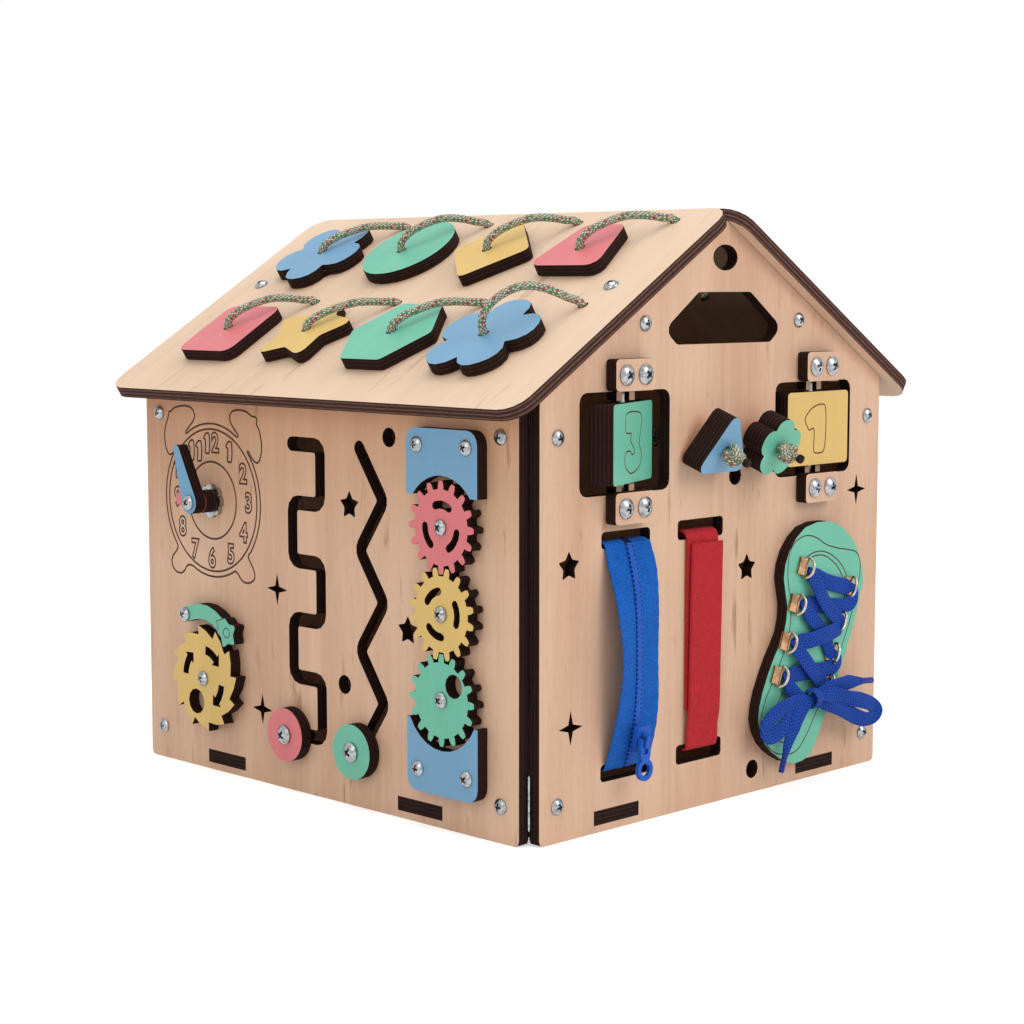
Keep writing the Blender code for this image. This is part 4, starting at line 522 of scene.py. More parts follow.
# %% [markdown]
# ## Crisp cut-outs
# The little stars and sparkles in the walls and the arrows in the ratchet wheel are cut by the
# laser with sharp tips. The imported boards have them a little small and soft. A copy of each
# board is cut again here with the full shape, by a Boolean with a thin prism, and the copy
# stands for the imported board. The same outline is used for every star.
# %% Recut stars, sparkles and arrows
STAR_TIP, STAR_WAIST = 7.6, 4.1
SPARKLE_TIP, SPARKLE_WAIST = 8.6, 2.4
ARROW_RING, ARROW_SHAFT, ARROW_HEAD = 16.0, 2.4, 4.7
ARROW_TAIL, ARROW_NECK, ARROW_POINT = 31, -4.8, -22


def pointed(tip, waist, points):
    """Corners of a star with that many points."""
    reaches = (tip, waist)
    turns = (math.pi / 2 + math.pi * k / points for k in range(2 * points))
    return [(reaches[k % 2] * math.cos(t), reaches[k % 2] * math.sin(t)) for k, t in enumerate(turns)]


def curved_arrow(middle):
    """Corners of an arrow that runs clockwise round the wheel, its middle at an angle in degrees."""
    def spot(reach, degrees):
        turn = math.radians(middle + degrees)
        return (reach * math.cos(turn), reach * math.sin(turn))
    steps = [ARROW_NECK + (ARROW_TAIL - ARROW_NECK) * k / 8 for k in range(9)]
    outer = [spot(ARROW_RING + ARROW_SHAFT, a) for a in steps]
    inner = [spot(ARROW_RING - ARROW_SHAFT, a) for a in reversed(steps)]
    head = [(ARROW_RING - ARROW_HEAD, ARROW_NECK), (ARROW_RING, ARROW_POINT), (ARROW_RING + ARROW_HEAD, ARROW_NECK)]
    return outer + inner + [spot(*corner) for corner in head]


def prism(corners, place, depth, bevel=0.0):
    """A prism through a board: its outline at a place, reaching depth to both sides."""
    mesh = bmesh.new()
    ring = [mesh.verts.new((x * MM, y * MM, -depth)) for x, y in corners]
    face = mesh.faces.new(ring)
    if face.normal.z > 0:
        face.normal_flip()
    if bevel:
        bmesh.ops.bevel(
            mesh, geom=ring, offset=bevel * MM, offset_type="OFFSET", segments=2, affect="VERTICES", profile=0.5)
    grown = bmesh.ops.extrude_face_region(mesh, geom=mesh.faces[:])
    top = [e for e in grown["geom"] if isinstance(e, bmesh.types.BMVert)]
    bmesh.ops.translate(mesh, verts=top, vec=(0, 0, 2 * depth))
    bmesh.ops.recalc_face_normals(mesh, faces=mesh.faces)
    mesh.transform(place)
    return mesh


def recut(node, cutters):
    """A copy of a packed board with more cut out of it, in the board's stead.

    The board's two large faces stay flat shaded, because a Boolean leaves thin slivers in
    them that would draw a faint line in a smooth face.
    """
    piece = copy_at(NODES[node], f"{node}_cut", Matrix())
    for material in [s.material for s in NODES[node].material_slots][:1]:
        piece.data.materials.clear()
        piece.data.materials.append(material)
    alone(piece)
    bpy.ops.object.mode_set(mode="EDIT")
    bpy.ops.mesh.select_all(action="SELECT")
    bpy.ops.mesh.remove_doubles(threshold=4e-6)
    bpy.ops.object.mode_set(mode="OBJECT")
    whole = bmesh.new()
    for cutter in cutters:
        data = bpy.data.meshes.new("cutter")
        cutter.to_mesh(data)
        cutter.free()
        whole.from_mesh(data)
        bpy.data.meshes.remove(data)
    data = bpy.data.meshes.new("cutters")
    whole.to_mesh(data)
    whole.free()
    tool = bpy.data.objects.new("cutters", data)
    bpy.context.collection.objects.link(tool)
    modifier(piece, "BOOLEAN", operation="DIFFERENCE", object=tool, solver="EXACT")
    bpy.data.objects.remove(tool)
    print(node, "recut,", len(piece.data.polygons), "faces")
    hand_over(piece, body_of(node), nodes=(node,), smooth_angle=30)
    outward = Vector(FRONT_OUT if "gable" in node else LEFT_OUT)
    for polygon in piece.data.polygons:
        if abs(polygon.normal.dot(outward)) > 0.9:
            polygon.use_smooth = False


def stars(place, spots):
    return [prism(pointed(STAR_TIP, STAR_WAIST, 5), at(place, u, v), 9 * MM, 0.8) for u, v in spots]


def sparkles(place, spots):
    return [prism(pointed(SPARKLE_TIP, SPARKLE_WAIST, 4), at(place, u, v), 9 * MM) for u, v in spots]


recut("left_wall", stars(LEFT, [(26.1, 155.2), (69.8, 95.8)]) + sparkles(LEFT, [(-32.8, 106.3), (-46.4, 40.0)]))
recut("right_wall", stars(RIGHT, [(-20.0, 90.0), (60.0, 165.0)]) + sparkles(RIGHT, [(-95.0, 50.0), (20.0, 180.0)]))
recut("front_gable", stars(FRONT, [(-114.6, 133.1), (19.8, 120.2)])
      + sparkles(FRONT, [(114.7, 154.7), (-113.1, 54.8)]))
recut("rear_gable", stars(REAR, [(80.0, 160.0), (-85.0, 70.0)]) + sparkles(REAR, [(60.0, 60.0), (-90.0, 185.0)]))
wheel = at(LEFT, -89.0, 52.0, 5.0)
recut("ratchet_wheel", [prism(curved_arrow(a), wheel, 9 * MM) for a in (52, 146, -38)])

# %% [markdown]
# ## Metal finishes
# Zinc plating is a bright metal that tiny scratches and dull spots break up, and the loops of
# the shoe are nickel, warmer and smoother. One group gives both their wear.
# %% Metal materials
WEAR, group_in, group_out = new_group(
    "metal_wear", [("Vector", "Vector"), ("Grain", "Float")], [("Dull", "Float"), ("Height", "Float")],
)
scaled = add_node(
    WEAR, "ShaderNodeVectorMath", {0: group_in.outputs["Vector"], "Scale": group_in.outputs["Grain"]},
    operation="SCALE",
).outputs[0]
dull = stretched_noise(WEAR, scaled, (1, 1, 1), 5, 0.6, 0.7)
WEAR.links.new(ramp_between(WEAR, dull, 0.35, 0.75), group_out.inputs["Dull"])
WEAR.links.new(stretched_noise(WEAR, scaled, (6, 6, 0.8), 2), group_out.inputs["Height"])


def metal(name, bright, dark, grain, low_roughness, high_roughness):
    """A plated metal with its own brightness, darkness and wear."""
    material, tree, shader = new_material(name)
    position = add_node(tree, "ShaderNodeTexCoord").outputs["Object"]
    wear = use_group(tree, WEAR, {"Vector": position, "Grain": grain})
    tree.links.new(mix_colour(tree, wear.outputs["Dull"], bright, dark), shader.inputs["Base Color"])
    spread = high_roughness - low_roughness
    roughness = calc(tree, "MULTIPLY_ADD", wear.outputs["Dull"], spread, low_roughness)
    tree.links.new(roughness, shader.inputs["Roughness"])
    shader.inputs["Metallic"].default_value = 1.0
    tree.links.new(bump(tree, wear.outputs["Height"], 0.06, 0.00006), shader.inputs["Normal"])
    return material


ZINC = metal("zinc_plate", rgb(180, 182, 184), rgb(104, 106, 110), 450, 0.18, 0.34)
NICKEL = metal("nickel_wire", rgb(210, 200, 184), rgb(140, 124, 104), 200, 0.12, 0.24)
# The clips are nickel like the loops; their warm brown is a painted reflection of the wood and the sole round them.
CLIP_PAINTED_REFLECTION_METAL = metal("clip_sheet_painted_reflection", rgb(196, 156, 120), rgb(140, 104, 76), 90, 0.12, 0.22)
HUB = (-87.0, 149.6)
ROSETTE_RADIUS = 9.2 * MM
low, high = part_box("clock_rosette")
shrink = 2 * ROSETTE_RADIUS / (high[2] - low[2])
middle = at(LEFT, *HUB)
place = middle @ Matrix.Diagonal((shrink, shrink, 1, 1)) @ middle.inverted()
rosette = copy_at(NODES["clock_rosette"], "clock_rosette_plate", place)
hand_over(rosette, body_of("clock_rosette"), ZINC, nodes=("clock_rosette",))
print("rosette drawn at", round(shrink, 2), "of the packed one")
print("metals:", ZINC.name, NICKEL.name)

# %% [markdown]
# ## Pan head screws
# Each screw head is a low dome with a cross recess. A sphere of the dome's own radius is cut
# off flat, its rim is pulled down to a short wall, and a cross is sunk in it by a Boolean. Two
# sizes are enough: the small heads hold the walls, the large ones the bearing caps and discs.
# %% Screw head patterns
SMALL_HEAD = (4.0, 2.0, 0.6)
LARGE_HEAD = (5.1, 2.3, 0.7)


def cross_cutter(reach, width, top, depth):
    """Two tapered bars that cross: the shape of the driver's tip."""
    bars = []
    for turn in (0, math.pi / 2):
        bpy.ops.mesh.primitive_cube_add(size=1, location=(0, 0, top - depth / 2))
        bar = bpy.context.object
        bar.scale = (2 * reach, width, depth)
        bar.rotation_euler = (0, 0, turn)
        bpy.ops.object.transform_apply()
        bpy.ops.object.mode_set(mode="EDIT")
        pick(bar, lambda middle, normal: normal.z < -0.9)
        bpy.ops.transform.resize(value=(0.45, 0.45, 1))
        bpy.ops.object.mode_set(mode="OBJECT")
        bars.append(bar)
    modifier(bars[0], "BOOLEAN", operation="UNION", object=bars[1], solver="EXACT")
    bpy.data.objects.remove(bars[1])
    return bars[0]


def dome_head(name, radius, dome, rim, recess=True):
    """A head that sits on z = 0."""
    radius, dome, rim = radius * MM, dome * MM, rim * MM
    ball = (radius**2 + dome**2) / (2 * dome)
    bpy.ops.mesh.primitive_uv_sphere_add(
        segments=32, ring_count=36, radius=ball, location=(0, 0, rim + dome - ball))
    head = bpy.context.object
    bpy.ops.object.transform_apply()
    bpy.ops.object.mode_set(mode="EDIT")
    bpy.ops.mesh.select_all(action="SELECT")
    bpy.ops.mesh.bisect(plane_co=(0, 0, rim), plane_no=(0, 0, 1), use_fill=True, clear_inner=True)
    pick(head, lambda middle, normal: normal.z < -0.9)
    bpy.ops.mesh.extrude_region_move(TRANSFORM_OT_translate={"value": (0, 0, -rim)})
    bpy.ops.mesh.select_all(action="SELECT")
    bpy.ops.mesh.remove_doubles(threshold=4e-6)
    bpy.ops.mesh.normals_make_consistent(inside=False)
    bpy.ops.object.mode_set(mode="OBJECT")
    if recess:
        cutter = cross_cutter(0.58 * radius, 0.32 * radius, rim + 1.2 * dome, 1.3 * dome)
        modifier(head, "BOOLEAN", operation="DIFFERENCE", object=cutter, solver="EXACT")
        bpy.data.objects.remove(cutter)
        alone(head)
        bpy.ops.object.mode_set(mode="EDIT")
        bpy.ops.mesh.select_all(action="SELECT")
        bpy.ops.mesh.remove_doubles(threshold=4e-6)
        bpy.ops.object.mode_set(mode="OBJECT")
    head.name = head.data.name = name
    return head


small_head = dome_head("small_head", *SMALL_HEAD)
large_head = dome_head("large_head", *LARGE_HEAD)
rivet_head = dome_head("rivet_head", 1.7, 0.9, 0.3, recess=False)
for pattern in (small_head, large_head):
    print(pattern.name, "faces", len(pattern.data.polygons), [round(x * 1000, 1) for x in pattern.dimensions])

# %% [markdown]
# ## Screws in the boards
# The screws follow the boards' edges. They are turned by odd angles, as a screwdriver leaves
# them.
# %% Placing the screws
random.seed(11)
CAP_FACE = 6.8


def screws(board_name, place, spots, pattern, depth=0.0):
    """Screw heads at (u, v) spots of a board."""
    for index, (u, v) in enumerate(spots, 1):
        turn = random.uniform(0, math.pi)
        piece = copy_at(pattern, f"{board_name}_screw_{index}", at(place, u, v, depth, turn))
        hand_over(piece, "house", ZINC)


WALL_SPOTS = [(u, v) for u in (-135.2, 135.2) for v in (195.5, 18.1)]
GABLE_SPOTS = [(-122.5, 195), (123.5, 195), (-122.5, 18), (123.5, 18), (-61, 248), (61, 248)]
ROOF_SPOTS = [(-137, -74.5), (137, -74.5)]
screws("left_wall", LEFT, WALL_SPOTS, small_head)
screws("right_wall", RIGHT, WALL_SPOTS, small_head)
screws("front_gable", FRONT, GABLE_SPOTS, small_head)
screws("rear_gable", REAR, GABLE_SPOTS, small_head)
screws("left_roof", LEFT_ROOF, ROOF_SPOTS, small_head)
screws("right_roof", RIGHT_ROOF, ROOF_SPOTS, small_head)
for cap, u, v in (
    ("upper_cap_three", -74.9, 223.5), ("lower_cap_three", -74.9, 159.0),
    ("upper_cap_one", 74.9, 223.5), ("lower_cap_one", 74.9, 159.0),
):
    screws(cap, FRONT, [(u - 6.8, v), (u + 6.8, v)], large_head, CAP_FACE)
for guard, v in (("upper_guard", 189.7), ("lower_guard", 29.7)):
    screws(guard, LEFT, [(84.1, v), (118.5, v)], small_head, CAP_FACE)

# %% [markdown]
# ## Bolts that turn
# A bolt goes right through its board, with a washer and a nut behind. A head pattern, a
# shank and a six-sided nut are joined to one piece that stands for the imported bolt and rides
# on the same body.
# %% Bolts
SHANK = 2.0 * MM
NUT = (3.8 * MM, 2.8 * MM)


def rod(radius, low, high, sides=16):
    """A round or many-sided bar along z with a small bevel at its ends."""
    bpy.ops.mesh.primitive_cylinder_add(
        vertices=sides, radius=radius, depth=high - low, location=(0, 0, (low + high) / 2))
    bar = bpy.context.object
    bpy.ops.object.transform_apply()
    bpy.ops.object.mode_set(mode="EDIT")
    pick(bar, lambda middle, normal: abs(normal.z) > 0.9)
    bpy.ops.mesh.bevel(offset=0.12 * radius, segments=2, affect="EDGES")
    bpy.ops.object.mode_set(mode="OBJECT")
    return bar


for node, u, v, pattern, seat in (
    ("clock_bolt", -87.0, 149.6, small_head, 16.8),
    ("ratchet_bolt", -89.0, 52.0, small_head, 7.3),
    ("pawl_bolt", -104.7, 85.8, small_head, 7.3),
    ("top_gear_bolt", 101.3, 150.4, small_head, 7.3),
    ("middle_gear_bolt", 101.3, 108.2, small_head, 7.3),
    ("bottom_gear_bolt", 101.3, 66.0, small_head, 7.3),
    ("meander_bolt", -19.4, 31.0, large_head, 7.3),
    ("zigzag_bolt", 34.0, 30.0, large_head, 7.3),
):
    if node in NODES:
        inner_end = -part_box(node)[1][0] - WALL_OUT
        if pattern is large_head:
            inner_end = -PLY - 4.9 * MM
        seat = seat * MM
        parts = [
            copy_at(pattern, "head", Matrix.Translation((0, 0, seat)) @ Matrix.Rotation(u, 4, "Z")),
            rod(SHANK, inner_end, seat + 0.2 * MM),
            rod(NUT[0], inner_end + 0.4 * MM, inner_end + 0.4 * MM + NUT[1], 6),
        ]
        if pattern is large_head:
            parts.append(rod(2.8 * MM, -PLY - 0.2 * MM, seat - 7.0 * MM))
            parts.append(rod(7.5 * MM, -PLY - 1.6 * MM, -PLY - 0.4 * MM, 32))
        piece = joined(f"{node}_steel", parts)
        piece.data.transform(at(LEFT, u, v))
        hand_over(piece, body_of(node), ZINC, nodes=(node,))
        print(node, "rides on", body_of(node), "inner end", round(inner_end * 1000, 1))

# %% [markdown]
# ## Axle rods of the number blocks
# Each block turns on a steel rod. Only two short lengths of it show, between the block and
# the forks that hold it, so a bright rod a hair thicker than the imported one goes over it.
# %% Axle rods
ROD_RADIUS = 2.15 * MM
for name, u in (("three", -74.9), ("one", 74.9)):
    piece = rod(ROD_RADIUS, -32.2 * MM, 32.2 * MM)
    piece.name = piece.data.name = f"axle_rod_{name}"
    piece.data.transform(at(FRONT, u, 190.5, -3.25) @ Matrix.Rotation(-math.pi / 2, 4, "X"))
    hand_over(piece, f"number_block_{name}", ZINC)

# %% [markdown]
# ## Engraved lines
# The same laser that cuts the boards draws thin burnt lines on them at low power. A line is a
# curve through its points with a fine round profile. It is made a mesh, pressed almost flat
# and laid half into the face, so that it shows dark from any side and never flickers.
# %% Helpers for engraved lines
LINE_WIDTH = 1.1 * MM
LINE_FLATNESS = 0.16


def even_route(points, step):
    """A smooth curve through the points, sampled evenly."""
    points = [Vector(p) for p in points]
    ends = [2 * points[0] - points[1], *points, 2 * points[-1] - points[-2]]
    fine = []
    for before, here, after, later in zip(ends, ends[1:], ends[2:], ends[3:]):
        reach = max((after - here).length, 1e-6)
        enter = (after - before) * reach / max((after - here).length + (here - before).length, 1e-6)
        leave = (later - here) * reach / max((later - after).length + (after - here).length, 1e-6)
        for k in range(16):
            t = k / 16
            fine.append(
                here * (2 * t**3 - 3 * t**2 + 1) + enter * (t**3 - 2 * t**2 + t)
                + after * (3 * t**2 - 2 * t**3) + leave * (t**3 - t**2))
    fine.append(points[-1])
    lengths = [0.0]
    for a, b in zip(fine, fine[1:]):
        lengths.append(lengths[-1] + (b - a).length)
    count = max(2, round(lengths[-1] / step))
    route, place = [], 0
    for i in range(count + 1):
        target = lengths[-1] * i / count
        while place < len(fine) - 2 and lengths[place + 1] < target:
            place += 1
        share = (target - lengths[place]) / max(lengths[place + 1] - lengths[place], 1e-9)
        route.append(fine[place].lerp(fine[place + 1], min(share, 1)))
    return route, lengths[-1]


def drawn(points, closed=True, smooth=True, roundness=1.0):
    """A curve object through points given in millimetres; less roundness keeps the sides straight."""
    bpy.ops.curve.primitive_bezier_curve_add()
    line = bpy.context.object
    spline = line.data.splines[0]
    spline.bezier_points.add(len(points) - len(spline.bezier_points))
    for point, (u, v) in zip(spline.bezier_points, points):
        point.co = (u * MM, v * MM, 0)
        point.handle_left_type = point.handle_right_type = "AUTO" if smooth else "VECTOR"
    spline.use_cyclic_u = closed
    spline.resolution_u = 8 if smooth else 1
    if roundness < 1:
        bpy.context.view_layer.update()
        for point in spline.bezier_points:
            ends = [point.co.lerp(handle, roundness) for handle in (point.handle_left, point.handle_right)]
            point.handle_left_type = point.handle_right_type = "FREE"
            point.handle_left, point.handle_right = ends
    return line


def ring(middle, radius):
    """A circle as a curve object, in millimetres."""
    bpy.ops.curve.primitive_bezier_circle_add(radius=radius * MM, location=(*(x * MM for x in middle), 0))
    circle = bpy.context.object
    circle.data.splines[0].resolution_u = 24
    return circle


def numeral(body, middle, size, squeeze, offset=0.5):
    """An outlined numeral as a text object, in millimetres."""
    bpy.ops.object.text_add(location=(middle[0] * MM, middle[1] * MM, 0))
    text = bpy.context.object
    text.data.body = body
    text.data.size = size * MM
    text.data.align_x = "CENTER"
    text.data.align_y = "CENTER"
    text.data.fill_mode = "NONE"
    text.data.offset = offset * MM
    text.data.resolution_u = 6
    text.scale = (squeeze, 1, 1)
    return text


def engraved(name, lines, place, body, material, width=LINE_WIDTH):
    """Curves and texts made one flat dark mesh on a face."""
    meshes = []
    for line in lines:
        line.data.bevel_depth = width / 2
        line.data.use_fill_caps = True
        line.data.bevel_resolution = 1
        alone(line)
        bpy.ops.object.convert(target="MESH")
        bpy.ops.object.transform_apply()
        meshes.append(bpy.context.object)
    piece = joined(name, meshes)
    piece.data.transform(place @ Matrix.Diagonal((1, 1, LINE_FLATNESS, 1)))
    return hand_over(piece, body, material)


BURN, tree, shader = new_material("burnt_line")
position = add_node(tree, "ShaderNodeTexCoord").outputs["Object"]
char = stretched_noise(tree, position, (900, 900, 900), 3)
tree.links.new(mix_colour(tree, char, rgb(48, 26, 18), rgb(88, 52, 36)), shader.inputs["Base Color"])
shader.inputs["Roughness"].default_value = 0.85

# %% [markdown]
# ## The alarm clock's face
# The clock is drawn, not cut: two bells, two feet, a double rim and a dial with its twelve
# hours. Rim, bells and feet are one line on the real board, so it runs here as one closed
# curve: an arc of the rim, a bell, the next arc, and so on round the clock.
# %% Clock face
CLOCK = (-88.1, 149.6)
RIM, DIAL, INNER = 41.9, 38.9, 21.1
RIGHT_BELL = (
    (-56.6, 178.1), (-53.8, 175.4), (-50.6, 172.9), (-48.2, 172.4), (-46.3, 174.1), (-44.8, 178.6),
    (-44.7, 183.0), (-46.4, 189.6), (-48.8, 193.3), (-48.3, 195.2), (-49.5, 196.7), (-52.4, 197.0),
    (-57.6, 199.3), (-64.0, 199.9), (-69.9, 198.6), (-71.7, 196.0), (-71.0, 192.9), (-67.9, 189.4),
    (-64.6, 185.6),
)
LEFT_BELL = (
    (-111.1, 185.2), (-108.0, 188.9), (-104.4, 192.2), (-102.9, 195.5), (-104.7, 198.6), (-109.2, 200.2),
    (-114.5, 200.1), (-119.9, 199.2), (-123.1, 197.9), (-124.2, 196.7), (-126.2, 196.5), (-127.0, 194.0),
    (-129.5, 188.8), (-130.8, 184.1), (-130.3, 178.5), (-128.4, 174.0), (-126.4, 172.6), (-123.7, 173.3),
    (-121.4, 175.7), (-119.2, 178.0),
)
LEFT_FOOT = (
    (-120.0, 121.6), (-122.2, 118.4), (-124.9, 115.8), (-125.9, 112.4), (-124.0, 108.8), (-120.9, 107.1),
    (-116.3, 107.3), (-113.6, 109.3), (-112.0, 111.4), (-109.2, 112.3), (-105.4, 111.6),
)
RIGHT_FOOT = (
    (-68.9, 112.4), (-66.0, 111.1), (-63.8, 108.6), (-60.3, 107.1), (-55.2, 107.6), (-51.9, 110.2),
    (-52.2, 113.8), (-55.0, 118.0), (-57.1, 121.4),
)
HOURS = {
    "12": (-88.4, 180.7), "1": (-72.8, 177), "2": (-60.7, 165.3), "3": (-56.3, 149.9),
    "4": (-60.9, 133.5), "5": (-72.2, 121.1), "6": (-89, 117.4), "7": (-104.2, 121.3),
    "8": (-115.3, 132.8), "9": (-119.2, 149.1), "10": (-115.4, 165.6), "11": (-103, 176.1),
}


FLAGGED_ONE = ((-2.6, 2.6), (-0.4, 5.4), (1.9, 5.4), (1.9, -5.4), (-1.1, -5.4), (-1.1, 1.6))


def rim_arc(start, end, steps=24):
    """Points of the outer rim between two angles in degrees, anticlockwise."""
    turns = (math.radians(start + (end - start) * i / steps) for i in range(steps + 1))
    return [(CLOCK[0] + RIM * math.cos(t), CLOCK[1] + RIM * math.sin(t)) for t in turns]


def angle_of(point):
    """A point's direction from the clock's middle, in degrees from 0 to 360."""
    return math.degrees(math.atan2(point[1] - CLOCK[1], point[0] - CLOCK[0])) % 360


outer = []
outline = (RIGHT_BELL, LEFT_BELL, LEFT_FOOT, RIGHT_FOOT)
for before, after in zip((RIGHT_FOOT, *outline), outline):
    start, end = angle_of(before[-1]), angle_of(after[0])
    outer += rim_arc(start - 360 if start > end else start, end, 16)[1:-1] + list(after)
lines = [drawn(outer, roundness=0.7), ring(CLOCK, DIAL), ring(CLOCK, INNER)]
for hour, (u, v) in HOURS.items():
    ones = {"1": (0,), "11": (-3.4, 3.4), "12": (-4.0,), "10": (-4.0,)}.get(hour, ())
    lines += [drawn([(u + shift + x, v + y) for x, y in FLAGGED_ONE], roundness=0.35) for shift in ones]
    rest = hour[1:] if hour in ("12", "10") else "" if ones else hour
    if rest:
        lines.append(numeral(rest, (u + (3.6 if ones else 0), v), 14.4, 0.86))
clock_face = engraved("clock_engraving", lines, LEFT, "house", BURN)
print("clock engraving:", [round(x * 1000) for x in clock_face.dimensions])

# %% [markdown]
# ## Digits, shoe and comet
# The number blocks carry one outlined digit each, the sole has the lines of a shoe, and the
# comet pawl shows where its tail meets the star.
# %% Other engraved lines
THREE = (
    (-9.5, 13.9), (10.6, 13.4), (11.8, 10.6), (9.2, 2.0), (8.3, -1.0), (12.0, -7.1), (9.2, -11.8),
    (3.4, -14.2), (-3.2, -14.9), (-10, -11.6), (-11.5, -7.6), (-9.5, -4.3), (-3.7, -4.1),
    (-1.4, -5.9), (2.0, -5.0), (0.6, -2.4), (-3.7, 1.3), (-2.3, 4.1), (-9.5, 5.2), (-10.3, 10),
)
ONE = (
    (0.7, 12.6), (5.7, 12.1), (6.9, 0), (4.9, -12.6), (-3.0, -12.9), (-4.0, 0), (-7.7, -0.8),
    (-11.4, 5.3), (-6.0, 10.5),
)
COLLAR = (
    (49.9, 129.5), (56.1, 133.1), (64.4, 133.8), (71.8, 131.6), (78.2, 128.2), (88.7, 125.2),
    (99.3, 123.2), (106.6, 121.1), (109.6, 116.9), (110.2, 110.8), (107.4, 99.9), (103.1, 88.0),
    (96.3, 73.9), (88.4, 59.8), (79.4, 47.2), (70.4, 34.7), (63.3, 25.5), (55.6, 19.0),
    (44.1, 18.6), (33.5, 22.6), (27.0, 30.9), (24.8, 38.7), (28.1, 49.2), (35.5, 60.4),
    (42.4, 71.6), (47.3, 82.3), (49.1, 92.1), (48.8, 101.2), (46.4, 110.5), (46.1, 119.5),
    (47.4, 125.6),
)
TONGUE = (
    (60.6, 121.4), (64.6, 123.4), (70.3, 124.6), (78.3, 123.9), (86.5, 120.4), (92.8, 115.8),
    (97.0, 110.6), (98.6, 106.0), (96.4, 98.6), (92.2, 86.6), (85.4, 72.5), (77.5, 58.5),
    (67.5, 42.4), (57.4, 31.1), (51.3, 26.2), (43.9, 25.1), (37.6, 28.5), (35.3, 33.7),
    (37.1, 42.2), (43.0, 52.7),
)
INNER_TONGUE = (
    (61.5, 119.6), (65.4, 121.6), (70.3, 122.6), (77.3, 122.0), (84.0, 118.9), (89.9, 114.4),
    (94.0, 108.8), (95.2, 103.0),
)
BLOCK_FACE = 6.6
turn = Matrix.Rotation(math.radians(21), 4, "Y")
for name, points, u, swing in (("three", THREE, -74.9, turn), ("one", ONE, 74.9, Matrix())):
    face = at(FRONT, u, 190.5, -3.25) @ swing @ Matrix.Translation((0, 0, BLOCK_FACE * MM))
    body = f"number_block_{name}"
    engraved(f"digit_{name}", [drawn(points, roundness=0.45)], face, body, BURN, 0.75 * MM)
sole_face = at(FRONT, 0, 0, CAP_FACE)
lines = [drawn(COLLAR), drawn(TONGUE, False), drawn(INNER_TONGUE, False)]
engraved("shoe_engraving", lines, sole_face, "house", BURN, 0.7 * MM)
pawl_face = at(LEFT, 0, 0, 7.0)
pawl_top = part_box("comet_pawl")[0][0]
pawl_face = at(LEFT, 0, 0, (-pawl_top - WALL_OUT) / MM)
star_edge = ((-75.9, 80.3), (-75.4, 81.9), (-76.8, 85.2), (-71.9, 86.5))
engraved(
    "comet_engraving", [ring((-68.1, 79.5), 2.6), drawn(star_edge, False, False)], pawl_face,
    "comet_pawl", BURN, 0.6 * MM)
print("pawl face at w", round((-pawl_top - WALL_OUT) / MM, 2))

# %% [markdown]
# ## Soft goods: one sweep for all
# Ropes, lace, tape and straps are all long pieces with a steady cross-section, so one function
# carries a section along a route. It resamples the route evenly, carries a frame along it and
# writes a UV map in which one direction runs along the piece and the other across it. Weave
# and braid follow that map round every bend.
# %% Routes, frames and the sweep
def carried_frames(route, up=Vector((0, 0, 1)), facing=None):
    """Point, side, up and distance along a route; facing(i) sets the up direction of a flat piece."""
    frames, distance = [], 0.0
    for i, point in enumerate(route):
        ahead = (route[min(i + 1, len(route) - 1)] - route[max(i - 1, 0)]).normalized()
        wish = facing(i) if facing else up
        up = wish - ahead * wish.dot(ahead)
        if up.length < 1e-4:
            up = ahead.orthogonal()
        up.normalize()
        if i:
            distance += (point - route[i - 1]).length
        frames.append((point, up.cross(ahead).normalized() * -1, up.copy(), distance))
    return frames


def swept(name, frames, section, wrap):
    """A closed tube; section(index, distance) lists (side, up, across) of its ring's corners."""
    mesh = bmesh.new()
    uv = mesh.loops.layers.uv.new("UVMap")
    rings, acrosses = [], []
    for index, (point, side, up, distance) in enumerate(frames):
        corners = section(index, distance)
        rings.append([mesh.verts.new(point + side * a + up * b) for a, b, _ in corners])
        acrosses.append([across for _, _, across in corners] + [wrap])
    count = len(rings[0])
    for i in range(len(rings) - 1):
        for k in range(count):
            n = (k + 1) % count
            face = mesh.faces.new((rings[i][k], rings[i][n], rings[i + 1][n], rings[i + 1][k]))
            marks = (
                (acrosses[i][k], frames[i][3]), (acrosses[i][k + 1], frames[i][3]),
                (acrosses[i + 1][k + 1], frames[i + 1][3]), (acrosses[i + 1][k], frames[i + 1][3]))
            for loop, mark in zip(face.loops, marks):
                loop[uv].uv = mark
    for ring_corners, index in ((rings[0], 0), (rings[-1], len(frames) - 1)):
        cap = mesh.faces.new(ring_corners)
        for loop in cap.loops:
            loop[uv].uv = (0.5 * wrap, frames[index][3])
    bmesh.ops.recalc_face_normals(mesh, faces=mesh.faces)
    for face in mesh.faces:
        face.smooth = True
    data = bpy.data.meshes.new(name)
    mesh.to_mesh(data)
    mesh.free()
    piece = bpy.data.objects.new(name, data)
    bpy.context.collection.objects.link(piece)
    return piece


def flat_section(half_width, half_thickness, corners=10, power=0.45):
    """A flat band's section: nearly a rectangle with rounded edges."""
    outline = []
    for k in range(4 * corners):
        t = 2 * math.pi * k / (4 * corners)
        a = math.copysign(abs(math.cos(t)) ** power, math.cos(t)) * half_width
        b = math.copysign(abs(math.sin(t)) ** power, math.sin(t)) * half_thickness
        outline.append((a, b, a))
    return outline


# %% [markdown]
# ## Cloth finishes
# Three groups hold the patterns: a plain weave for tape and straps, a knit of little V rows
# for the lace, and the diamonds of a braid for the ropes. They all read the UV map, in metres.
# %% Weave, knit and braid
def uv_of(tree):
    return add_node(tree, "ShaderNodeUVMap", uv_map="UVMap").outputs["UV"]


